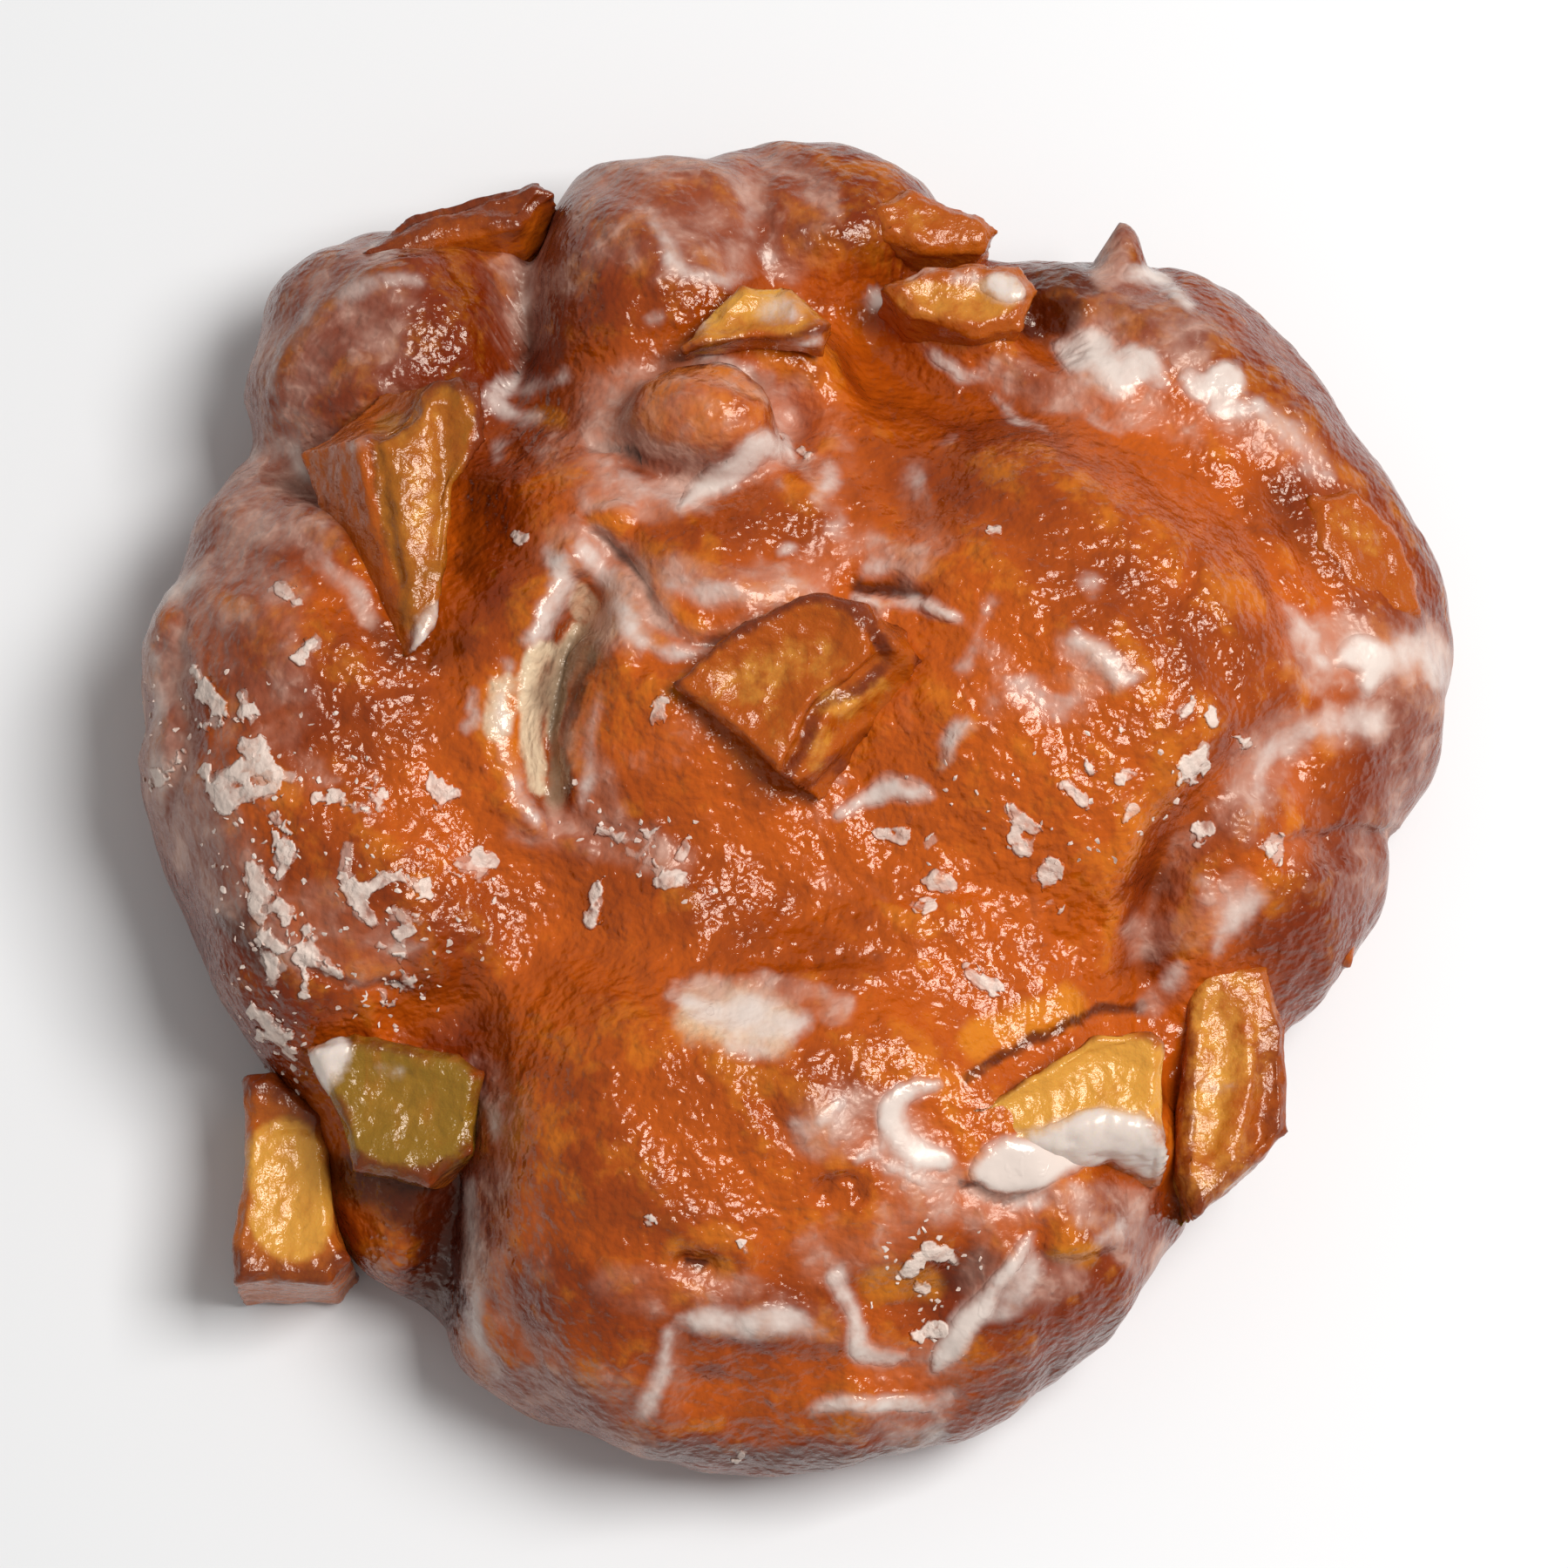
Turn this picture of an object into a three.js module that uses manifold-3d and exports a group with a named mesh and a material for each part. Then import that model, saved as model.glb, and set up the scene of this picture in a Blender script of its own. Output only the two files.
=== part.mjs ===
// An apple fritter: one piece of fried yeast dough, folded into lobes, with knife-cut pieces of apple
// set in it. Millimetres, +Z up. It rests on its flat underside at z = 0, with the front towards -Y.
import * as THREE from "three";
import { mergeVertices } from "three/addons/utils/BufferGeometryUtils.js";
import Module from "manifold-3d";

// Driving dimensions
const RINGS = 39; // rings in the dough's mesh, from the middle of its top to its underside
const CORE_RADIUS = 40; // flat round core, inside the dough, that the mesh is thrown outwards from
const CORE_HEIGHT = 9; // of that core above the table
const CORE_SHARE = 0.52; // of the rings that start over the core and not from its rim
const OVER_TOP = 20; // how far the mesh's rays lean out at the core's rim, in degrees from upright
const UNDERNEATH = 150; // how far the last of them have turned
const FAR_OUT = 80; // length of a ray
const ROUGH_FOOT = -2.9; // where the mesh is closed off below, before it is trimmed flat at z = 0
const POCKET_GAP = 0.3; // between a piece of apple and the dough round it
const APPLE_BEVEL = 1.1; // softened arrises of the apple pieces
const CREASE_FOOT = 6; // height below which creases fade out, towards the underside
const CREASE_FADE = 6; // height over which they do

// The dough's lobes, each a soft ellipsoid: centre, half sizes, turn about Z in degrees, and how softly
// it runs into the ones above it in this list.
const LOBES = [
  { name: "body", at: [-1, -1.5, 11], half: [50, 50, 15], turn: 0, blend: 0 },
  { name: "right dome", at: [24, 9.5, 14], half: [27, 29, 24], turn: -15, blend: 9 },
  { name: "front left", at: [-12, -34.5, 13], half: [21, 25, 20.5], turn: 10, blend: 7 },
  { name: "front middle", at: [1.5, -26.5, 15], half: [28, 19, 20], turn: 0, blend: 8 },
  { name: "front right", at: [14.5, -38, 12], half: [20, 18, 18], turn: 20, blend: 7 },
  { name: "front rim", at: [0, -46, 10], half: [24.5, 16, 14], turn: 4, blend: 6 },
  { name: "front skirt", at: [-23, -45, 9], half: [10.2, 13, 10], turn: 46, blend: 4 },
  { name: "left", at: [-41.5, 5.5, 13], half: [19, 26, 19], turn: 5, blend: 7 },
  { name: "left low", at: [-38, -11.5, 12], half: [16, 15.5, 18], turn: 0, blend: 7 },
  { name: "middle", at: [-9, 12, 14], half: [27, 29, 21.5], turn: 0, blend: 8 },
  { name: "upper left", at: [-37, 40.5, 11], half: [14.5, 14.5, 15], turn: 30, blend: 3 },
  { name: "left shoulder", at: [-46, 27.5, 10], half: [8.2, 12, 12], turn: -30, blend: 4 },
  { name: "top centre", at: [-12.5, 45.5, 12], half: [15, 16.4, 18], turn: 0, blend: 4 },
  { name: "top join", at: [-3.5, 51.5, 11], half: [8, 11, 14], turn: 0, blend: 4 },
  { name: "top right", at: [4, 52.2, 11], half: [11.5, 11, 14.5], turn: 0, blend: 3 },
  { name: "top shelf", at: [-3.5, 38, 20], half: [9, 7, 9], turn: 0, blend: 4 },
  { name: "right upper", at: [37, 34.5, 11], half: [21, 13.3, 16.5], turn: -44, blend: 4 },
  { name: "right brow", at: [21.5, 41, 11], half: [14, 10, 16], turn: -10, blend: 5 },
  { name: "right side", at: [46.5, 12.5, 11], half: [15, 21, 15.5], turn: -5, blend: 5 },
  { name: "right low", at: [40, -7, 11], half: [14.5, 13.5, 16], turn: 0, blend: 4 },
  { name: "foot", at: [-35.5, -36, 8.5], half: [8, 11, 9.5], turn: 25, blend: 5 },
  { name: "knob", at: [-8, 31.5, 31], half: [7.4, 5.8, 6], turn: 12, blend: 3 },
  { name: "horn", at: [30.5, 49.5, 19], half: [2.2, 4.5, 3], turn: 0, blend: 2 },
];

// Creases and folds between the lobes, seen from above: each runs from one point through a second to a
// third. A negative depth is a raised fold.
const CREASES = [
  { name: "crevice", path: [[-18, 17.5], [-21.5, 8], [-22.5, -2.5]], width: 2.6, depth: 5.5 },
  { name: "crevice lip", path: [[-28, 9], [-26, -0.5], [-21.5, -6]], width: 3, depth: -0.8 },
  { name: "left shoulder", path: [[-51.5, 34.5], [-42.5, 28.5], [-35.5, 33.5]], width: 2.6, depth: 2.2 },
  { name: "upper left fold", path: [[-49, 33.5], [-43, 44.5], [-27, 51]], width: 1.6, depth: -1 },
  { name: "upper left valley", path: [[-24, 58], [-25, 44.5], [-28, 37]], width: 2.4, depth: 2 },
  { name: "top valley", path: [[-3, 60], [-3.5, 52], [-2, 45.5]], width: 1.8, depth: 1.2 },
  { name: "under top right", path: [[2.5, 46], [9.5, 47], [18.5, 48.5]], width: 2.4, depth: 1.8 },
  { name: "red hollow", path: [[20.5, 46], [23, 41.5], [27.5, 41]], width: 2.8, depth: 3.4 },
  { name: "knob hollow", path: [[-3.5, 35], [-0.5, 33.5], [0, 28.5]], width: 2.2, depth: 2.2 },
  { name: "knob foot", path: [[-17, 30], [-8, 25], [-0.5, 28]], width: 1.8, depth: 1.2 },
  { name: "brow valley", path: [[12, 40], [33.5, 27.5], [50.5, 15]], width: 3.6, depth: 1.6 },
  { name: "right fold", path: [[44, 2], [33, -9], [32.5, -21]], width: 2.6, depth: 2.8 },
  { name: "right seam", path: [[44.5, -8.5], [50, -6.5], [55, -4]], width: 1.4, depth: 0.7 },
  { name: "front valley", path: [[-23, -20.5], [2, -20.5], [25.5, -26.5]], width: 5, depth: 1.8 },
  { name: "front crease", path: [[-4, -30], [-2, -33], [-0.5, -35.5]], width: 1.6, depth: 0.9 },
  { name: "left seam", path: [[-29.5, -22], [-30, -37], [-35.5, -50]], width: 3.2, depth: 4 },
  { name: "left valley", path: [[-31, -19.5], [-35, -22], [-38.5, -23.5]], width: 4, depth: 1.6 },
  { name: "lower right valley", path: [[18.5, -43], [14, -47], [10.5, -52.5]], width: 3.2, depth: 1.8 },
  { name: "side turn", path: [[-13.5, -54], [-1, -55], [14, -53.5]], width: 2, depth: 0.8 },
];

// The pieces of apple. `at` is the middle of the upper face, `tilt` turns the piece about X and Y in
// degrees, `outline` is the upper face, and `lean` says how far the lower face is slid to the side.
const APPLES = [
  {
    name: "apple_left_upper", at: [-33, 23, 33], tilt: [4, 12], thick: 10, lean: [-5, 0],
    outline: [[-6.5, 6], [-2.5, 9], [1, 12], [5, 12], [6, 8], [3, 2], [2.5, -5.5], [1.5, -11], [-1, -14], [-4.5, -1]],
  },
  {
    name: "apple_centre", at: [-1, 6, 39.5], tilt: [4, -7], thick: 8, lean: [3.5, -1.5],
    outline: [[-11, -0.5], [-4, 5], [2.5, 7.5], [7, 6.5], [9.5, 2.5], [4, -2.5], [2, -6.5], [-0.5, -9.5], [-8, -3]],
  },
  {
    name: "apple_top", at: [-3.5, 41, 33], tilt: [-4, 0], thick: 5.5, lean: [0, 0.5],
    outline: [[-7, -3.5], [-5.5, -0.5], [-1.5, 3.5], [3, 3], [7, -0.5], [6, -3], [0, -2.5]],
  },
  {
    name: "apple_right_low", at: [25.5, -30, 32], tilt: [8, 3], thick: 9.5, lean: [0.5, -5],
    outline: [[-12, -4.5], [-11.5, -1], [-9, -1], [-3, 2.5], [1, 5], [6, 5.6], [7.6, 4.6], [7.6, -4.5], [0, -5]],
  },
  {
    name: "apple_right_corner", at: [40.6, -28.5, 22], tilt: [0, 8], thick: 16, lean: [0, 0],
    outline: [[-4, 12.5], [2.5, 11.5], [4.6, 6], [4.6, -4], [2, -7], [-4.2, -12], [-6.2, -8], [-5, 5]],
  },
  {
    name: "apple_left_low", at: [-36.5, -30.5, 24], tilt: [4, -4], thick: 13, lean: [0, 0],
    outline: [[-8, 5.5], [-3.5, 7], [6, 5], [8.5, 3], [7.5, -4.5], [3.5, -7.5], [-3.5, -6], [-5, -1.5]],
  },
  {
    name: "apple_left_outer", at: [-46.3, -36.2, 15.6], tilt: [0, 0], thick: 15.2, lean: [0, 0],
    outline: [[-4.5, 10], [-1.5, 10.5], [3.5, 6.5], [4.5, -4], [6, -7], [4, -9.5], [-5, -9.5], [-5.5, -5.5], [-4.5, 1]],
  },
  {
    name: "apple_upper_right", at: [15.5, 44.2, 28.5], tilt: [-6, 4], thick: 8.5, lean: [0, 0],
    outline: [[-7.5, 1], [-3.5, 3.5], [1, 4], [5.5, 3.5], [7, 1], [5.5, -3], [1, -4], [-5, -2]],
  },
  {
    name: "apple_top_right", at: [12.8, 52.8, 24.5], tilt: [-8, 8], thick: 8, lean: [0, 0],
    outline: [[-6, 1.5], [-2, 3.5], [1.5, 2], [5, 1], [6.5, -0.5], [5, -3], [-1, -3.5], [-5, -2]],
  },
  {
    name: "apple_right_chip", at: [50.8, -13.6, 15], tilt: [0, 10], thick: 4.5, lean: [-1, 0],
    outline: [[-4, 1], [3, 2.5], [1, -2.5], [-4, -2]],
  },
  {
    name: "apple_right_side", at: [53, 20.5, 24], tilt: [-4, 28], thick: 8, lean: [0, 0],
    outline: [[-6, 5.5], [-1, 7], [3.5, 4], [6, -1], [6, -5], [2, -6], [-2.5, -4.5], [-5.5, 0.5]],
  },
  {
    name: "apple_top_left", at: [-31.4, 54.2, 21.6], tilt: [-14, -4], thick: 9.5, lean: [0, 0],
    outline: [[-10, -4], [-5, 0.5], [2, 3], [7, 4], [9, 2.5], [6, -1.5], [-1, -3], [-7, -5.5]],
  },
];

// Finishes
const CRUST = new THREE.MeshStandardMaterial({ color: 0xa84f1c, roughness: 0.42, metalness: 0 });
const APPLE = new THREE.MeshStandardMaterial({ color: 0xc98f3c, roughness: 0.38, metalness: 0 });

const wasm = await Module();
wasm.setup();

const clamp = (value, low, high) => Math.min(high, Math.max(low, value));

// Distance from an ellipsoid, near enough close to its surface.
function ellipsoidDistance([x, y, z], { at, half, turn }) {
  const angle = THREE.MathUtils.degToRad(turn);
  const across = (x - at[0]) * Math.cos(angle) + (y - at[1]) * Math.sin(angle);
  const along = (y - at[1]) * Math.cos(angle) - (x - at[0]) * Math.sin(angle);
  const parts = [across, along, z - at[2]];
  const scaled = Math.hypot(...parts.map((part, axis) => part / half[axis]));
  const steep = Math.hypot(...parts.map((part, axis) => part / half[axis] ** 2));
  return (scaled * (scaled - 1)) / Math.max(steep, 1e-6);
}

// The smaller of two distances, rounded off where they are within `blend` of each other.
function softUnion(a, b, blend) {
  const share = clamp(0.5 + (0.5 * (b - a)) / blend, 0, 1);
  return b + (a - b) * share - blend * share * (1 - share);
}

// A crease's points, on the parabola through its three, and its strength at each, which dies away
// towards both ends.
function creaseSteps({ path: [from, through, to], width, depth }) {
  const bend = [0, 1].map((axis) => 2 * through[axis] - (from[axis] + to[axis]) / 2);
  const length = Math.hypot(to[0] - from[0], to[1] - from[1]);
  const count = Math.ceil(length / (0.4 * width)) + 2;
  return Array.from({ length: count }, (_, index) => {
    const t = index / (count - 1);
    const [x, y] = [0, 1].map(
      (axis) => (1 - t) ** 2 * from[axis] + 2 * t * (1 - t) * bend[axis] + t ** 2 * to[axis],
    );
    return { x, y, strength: depth * Math.sqrt(Math.sin(Math.PI * clamp(t, 0.06, 0.94))) };
  });
}
const CREASE_STEPS = CREASES.map((crease) => ({ width: crease.width, steps: creaseSteps(crease) }));

// How deep the creases cut at a point seen from above.
function creaseDepth(x, y) {
  let total = 0;
  for (const { width, steps } of CREASE_STEPS) {
    let most = 0;
    for (const step of steps) {
      const here = step.strength * Math.exp(-((x - step.x) ** 2 + (y - step.y) ** 2) / width ** 2);
      if (Math.abs(here) > Math.abs(most)) most = here;
    }
    total += most;
  }
  return total;
}

// A slow wander of the surface, which keeps the lobes from being true ellipsoids.
function wander([x, y, z]) {
  const broad = Math.sin(0.29 * x + 0.17 * y + 0.6) * Math.sin(0.25 * y - 0.21 * z + 1.9);
  const short = Math.sin(0.61 * x - 0.33 * z + 2.4) * Math.sin(0.57 * y + 0.41 * x + 0.3);
  return 0.6 * broad + 0.2 * short;
}

// Distance from the dough's surface, before it is trimmed flat underneath.
function doughDistance(point) {
  let distance = Infinity;
  for (const lobe of LOBES) {
    const here = ellipsoidDistance(point, lobe);
    distance = distance === Infinity ? here : softUnion(distance, here, lobe.blend);
  }
  const [x, y, z] = point;
  const exposed = clamp((z - CREASE_FOOT) / CREASE_FADE, 0, 1);
  return Math.max(distance + exposed * creaseDepth(x, y) + wander(point), ROUGH_FOOT - z);
}

// A ray of the mesh: where it starts on the core and where it heads. `share` runs from 0 at the middle
// of the top to 1 underneath.
function rayFrom(share, turn) {
  const over = Math.min(share / CORE_SHARE, 1);
  const round = Math.max((share - CORE_SHARE) / (1 - CORE_SHARE), 0);
  const lean = THREE.MathUtils.degToRad(OVER_TOP * over ** 2 + (UNDERNEATH - OVER_TOP) * round);
  const [along, across] = [Math.cos(turn), Math.sin(turn)];
  return {
    start: [CORE_RADIUS * over * along, CORE_RADIUS * over * across, CORE_HEIGHT],
    heading: [Math.sin(lean) * along, Math.sin(lean) * across, Math.cos(lean)],
  };
}

// The last place where a ray leaves the inside of a surface.
function wayOut({ start, heading }, distance) {
  const at = (reach) => start.map((value, axis) => value + reach * heading[axis]);
  let inside = FAR_OUT;
  while (inside > 0 && distance(at(inside)) > 0) inside -= 1;
  let outside = inside + 1;
  for (let round = 0; round < 12; round += 1) {
    const middle = (inside + outside) / 2;
    if (distance(at(middle)) > 0) outside = middle;
    else inside = middle;
  }
  return at(inside);
}

// The closed surface where a distance is 0, as a net of rings: each has six more points than the last.
function ringNet(distance) {
  const points = [];
  const faces = [];
  const pointAt = (ring, step) => (ring ? 1 + 3 * ring * (ring - 1) + (step % (6 * ring)) : 0);
  for (let ring = 0; ring <= RINGS; ring += 1)
    for (let step = 0; step < Math.max(6 * ring, 1); step += 1)
      points.push(wayOut(rayFrom(ring / RINGS, (Math.PI * step) / (3 * Math.max(ring, 1))), distance));
  for (let ring = 1; ring <= RINGS; ring += 1)
    for (let sector = 0; sector < 6; sector += 1)
      for (let index = 0; index < ring; index += 1) {
        const outer = sector * ring + index;
        const inner = sector * (ring - 1) + index;
        faces.push(pointAt(ring - 1, inner), pointAt(ring, outer), pointAt(ring, outer + 1));
        if (index < ring - 1)
          faces.push(pointAt(ring - 1, inner), pointAt(ring, outer + 1), pointAt(ring - 1, inner + 1));
      }
  const foot = points.push([0, 0, ROUGH_FOOT]) - 1;
  for (let step = 0; step < 6 * RINGS; step += 1)
    faces.push(foot, pointAt(RINGS, step + 1), pointAt(RINGS, step));
  return new THREE.BufferGeometry()
    .setAttribute("position", new THREE.BufferAttribute(new Float32Array(points.flat()), 3))
    .setIndex(faces);
}

// A geometry as a solid that can be cut.
function solidFrom(geometry) {
  const bare = geometry.index ? geometry.toNonIndexed() : geometry.clone();
  bare.deleteAttribute("normal");
  bare.deleteAttribute("uv");
  const merged = mergeVertices(bare, 1e-4);
  return new wasm.Manifold(
    new wasm.Mesh({
      numProp: 3,
      vertProperties: new Float32Array(merged.attributes.position.array),
      triVerts: new Uint32Array(merged.index.array),
    }),
  );
}

// A solid's largest body as a geometry again, so that a loose scrap left by a cut is dropped.
function geometryFrom(solid) {
  const largest = solid.decompose().reduce((a, b) => (a.volume() > b.volume() ? a : b));
  const { vertProperties, triVerts } = largest.getMesh();
  const geometry = new THREE.BufferGeometry()
    .setAttribute("position", new THREE.BufferAttribute(new Float32Array(vertProperties), 3))
    .setIndex(new THREE.BufferAttribute(new Uint32Array(triVerts), 1));
  geometry.computeVertexNormals();
  return geometry;
}

// A piece of apple in its own frame, its upper face at z = 0, grown all round by `grow`.
function appleGeometry({ outline, thick, lean }, grow = 0) {
  const shape = new THREE.Shape(outline.map(([x, y]) => new THREE.Vector2(x, y)));
  const geometry = new THREE.ExtrudeGeometry(shape, {
    depth: thick - 2 * APPLE_BEVEL,
    steps: 1,
    bevelThickness: APPLE_BEVEL + grow,
    bevelSize: APPLE_BEVEL + grow,
    bevelOffset: -APPLE_BEVEL,
    bevelSegments: 1,
  });
  geometry.translate(0, 0, APPLE_BEVEL - thick);
  const position = geometry.attributes.position;
  for (let index = 0; index < position.count; index += 1) {
    const share = -position.getZ(index) / thick;
    position.setX(index, position.getX(index) + lean[0] * share);
    position.setY(index, position.getY(index) + lean[1] * share);
  }
  return geometry;
}

// A mesh set down where its piece of apple lies.
function placeApple(apple, geometry) {
  const mesh = new THREE.Mesh(geometry, APPLE);
  mesh.name = apple.name;
  mesh.position.set(...apple.at);
  mesh.rotation.set(...apple.tilt.map(THREE.MathUtils.degToRad), 0, "ZYX");
  mesh.updateMatrixWorld(true);
  return mesh;
}

// The dough, trimmed flat underneath, with a pocket for each piece of apple.
function doughMesh() {
  const table = new THREE.BoxGeometry(2 * FAR_OUT, 2 * FAR_OUT, -4 * ROUGH_FOOT);
  table.translate(0, 0, 2 * ROUGH_FOOT);
  let dough = solidFrom(ringNet(doughDistance)).subtract(solidFrom(table));
  for (const apple of APPLES) {
    const pocket = placeApple(apple, appleGeometry(apple, POCKET_GAP));
    dough = dough.subtract(solidFrom(pocket.geometry.clone().applyMatrix4(pocket.matrixWorld)));
  }
  const mesh = new THREE.Mesh(geometryFrom(dough), CRUST);
  mesh.name = "dough";
  return mesh;
}

const fritter = new THREE.Group();
fritter.add(doughMesh());
for (const apple of APPLES) fritter.add(placeApple(apple, appleGeometry(apple)));

export default fritter;
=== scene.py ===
"""An apple fritter: fried dough in creased lobes with a blistered crust, a thin sugar glaze that
has run, whitened and cracked over it, and knife-cut pieces of cooked apple set in it."""

import math

import bpy
import numpy as np
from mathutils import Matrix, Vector


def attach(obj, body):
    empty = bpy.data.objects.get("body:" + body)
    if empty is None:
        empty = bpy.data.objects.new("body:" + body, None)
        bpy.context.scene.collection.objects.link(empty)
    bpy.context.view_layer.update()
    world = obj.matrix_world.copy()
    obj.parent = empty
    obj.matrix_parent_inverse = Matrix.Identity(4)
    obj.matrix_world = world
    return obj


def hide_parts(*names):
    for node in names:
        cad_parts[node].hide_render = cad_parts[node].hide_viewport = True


bl_info = {
    "name": "Apple fritter",
    "version": (1, 0, 0),
    "blender": (4, 5, 0),
    "location": "3D View > Sidebar > Fritter",
    "description": "A glazed apple fritter with its crust, icing, flakes and pieces of apple",
    "category": "Add Mesh",
}

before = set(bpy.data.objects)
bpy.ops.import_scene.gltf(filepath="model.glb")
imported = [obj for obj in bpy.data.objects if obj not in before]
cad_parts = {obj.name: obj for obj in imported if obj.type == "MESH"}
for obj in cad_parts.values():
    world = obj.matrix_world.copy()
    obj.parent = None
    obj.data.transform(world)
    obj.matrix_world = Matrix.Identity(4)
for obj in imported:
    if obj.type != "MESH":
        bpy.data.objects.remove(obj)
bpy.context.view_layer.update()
BODY = "root"
MM = 0.001

# The dough's lobes, in millimetres: centre, half sizes, turn about Z in degrees, and how softly
# each runs into the ones above it.
LOBES = (
    ("body", (-1, -1.5, 11), (50, 50, 15), 0, 0),
    ("right dome", (24, 9.5, 14), (27, 29, 24), -15, 9),
    ("front left", (-12, -34.5, 13), (21, 25, 20.5), 10, 7),
    ("front middle", (1.5, -26.5, 15), (28, 19, 20), 0, 8),
    ("front right", (14.5, -38, 12), (20, 18, 18), 20, 7),
    ("front rim", (0, -46, 10), (24.5, 16, 14), 4, 6),
    ("front skirt", (-23, -45, 9), (10.2, 13, 10), 46, 4),
    ("left", (-41.5, 5.5, 13), (19, 26, 19), 5, 7),
    ("left low", (-38, -11.5, 12), (16, 15.5, 18), 0, 7),
    ("middle", (-9, 12, 14), (27, 29, 21.5), 0, 8),
    ("upper left", (-37, 40.5, 11), (14.5, 14.5, 15), 30, 3),
    ("left shoulder", (-46, 27.5, 10), (8.2, 12, 12), -30, 4),
    ("top centre", (-12.5, 45.5, 12), (15, 16.4, 18), 0, 4),
    ("top join", (-3.5, 51.5, 11), (8, 11, 14), 0, 4),
    ("top right", (4, 52.2, 11), (11.5, 11, 14.5), 0, 3),
    ("top shelf", (-3.5, 38, 20), (9, 7, 9), 0, 4),
    ("right upper", (37, 34.5, 11), (21, 13.3, 16.5), -44, 4),
    ("right brow", (21.5, 41, 11), (14, 10, 16), -10, 5),
    ("right side", (46.5, 12.5, 11), (15, 21, 15.5), -5, 5),
    ("right low", (40, -7, 11), (14.5, 13.5, 16), 0, 4),
    ("foot", (-35.5, -36, 8.5), (8, 11, 9.5), 25, 5),
    ("knob", (-8, 31.5, 31), (7.4, 5.8, 6), 12, 3),
    ("horn", (30.5, 49.5, 19), (2.2, 4.5, 3), 0, 2),
)

# Creases and folds from above, in millimetres: each runs from one point through a second to a
# third, with its width to either side and its depth. A negative depth is a raised fold.
CREASES = (
    ("crevice", ((-17, 18.5), (-21, 9), (-22.5, -2.5)), (3.6, 1.7), 6.5),
    ("crevice lip", ((-28.5, 11), (-27.5, 2), (-23, -5)), (2.5, 2.5), -1),
    ("crevice brow", ((-14.5, 16), (-18.5, 8), (-19.5, -1)), (1.6, 1.6), -1),
    ("left shoulder", ((-51.5, 34.5), (-42.5, 28.5), (-35.5, 33.5)), (2.6, 2.6), 2.6),
    ("upper left fold", ((-49, 33.5), (-43, 44.5), (-27, 51)), (1.6, 1.6), -1),
    ("upper left valley", ((-24, 58), (-25, 44.5), (-28, 37)), (2.4, 2.4), 2.4),
    ("top valley", ((-3, 60), (-3.5, 52), (-2, 45.5)), (1.8, 1.8), 1.2),
    ("under top right", ((2.5, 46), (9.5, 47), (18.5, 48.5)), (2.4, 2.4), 1.8),
    ("red hollow", ((20.5, 46), (23, 41.5), (27.5, 41)), (2.8, 2.8), 3.4),
    ("knob hollow", ((-3.5, 35), (-0.5, 33.5), (0, 28.5)), (2.2, 2.2), 2.2),
    ("knob foot", ((-17, 30), (-8, 25), (-0.5, 28)), (1.8, 1.8), 1.4),
    ("brow valley", ((12, 40), (33.5, 27.5), (50.5, 15)), (3.6, 3.6), 1.8),
    ("right fold", ((44, 2), (33, -9), (32.5, -21)), (2.6, 2.6), 2.8),
    ("right fold lip", ((40, 1), (30.5, -8), (30.5, -19)), (1.6, 1.6), -0.7),
    ("right seam", ((44.5, -8.5), (50, -6.5), (55, -4)), (1, 1), 1),
    ("front valley", ((-23, -20.5), (2, -20.5), (25.5, -26.5)), (5, 5), 2),
    ("front crease", ((-4, -30), (-2, -33), (-0.5, -35.5)), (1.4, 1.4), 1),
    ("left seam", ((-29.5, -22), (-30, -37), (-35.5, -50)), (3.2, 3.2), 4),
    ("left valley", ((-31, -19.5), (-35, -22), (-38.5, -23.5)), (4, 4), 1.8),
    ("lower right valley", ((18.5, -43), (14, -47), (10.5, -52.5)), (3.2, 3.2), 1.8),
    ("side turn", ((-13.5, -54), (-1, -55), (14, -53.5)), (2, 2), 0.8),
)

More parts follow.
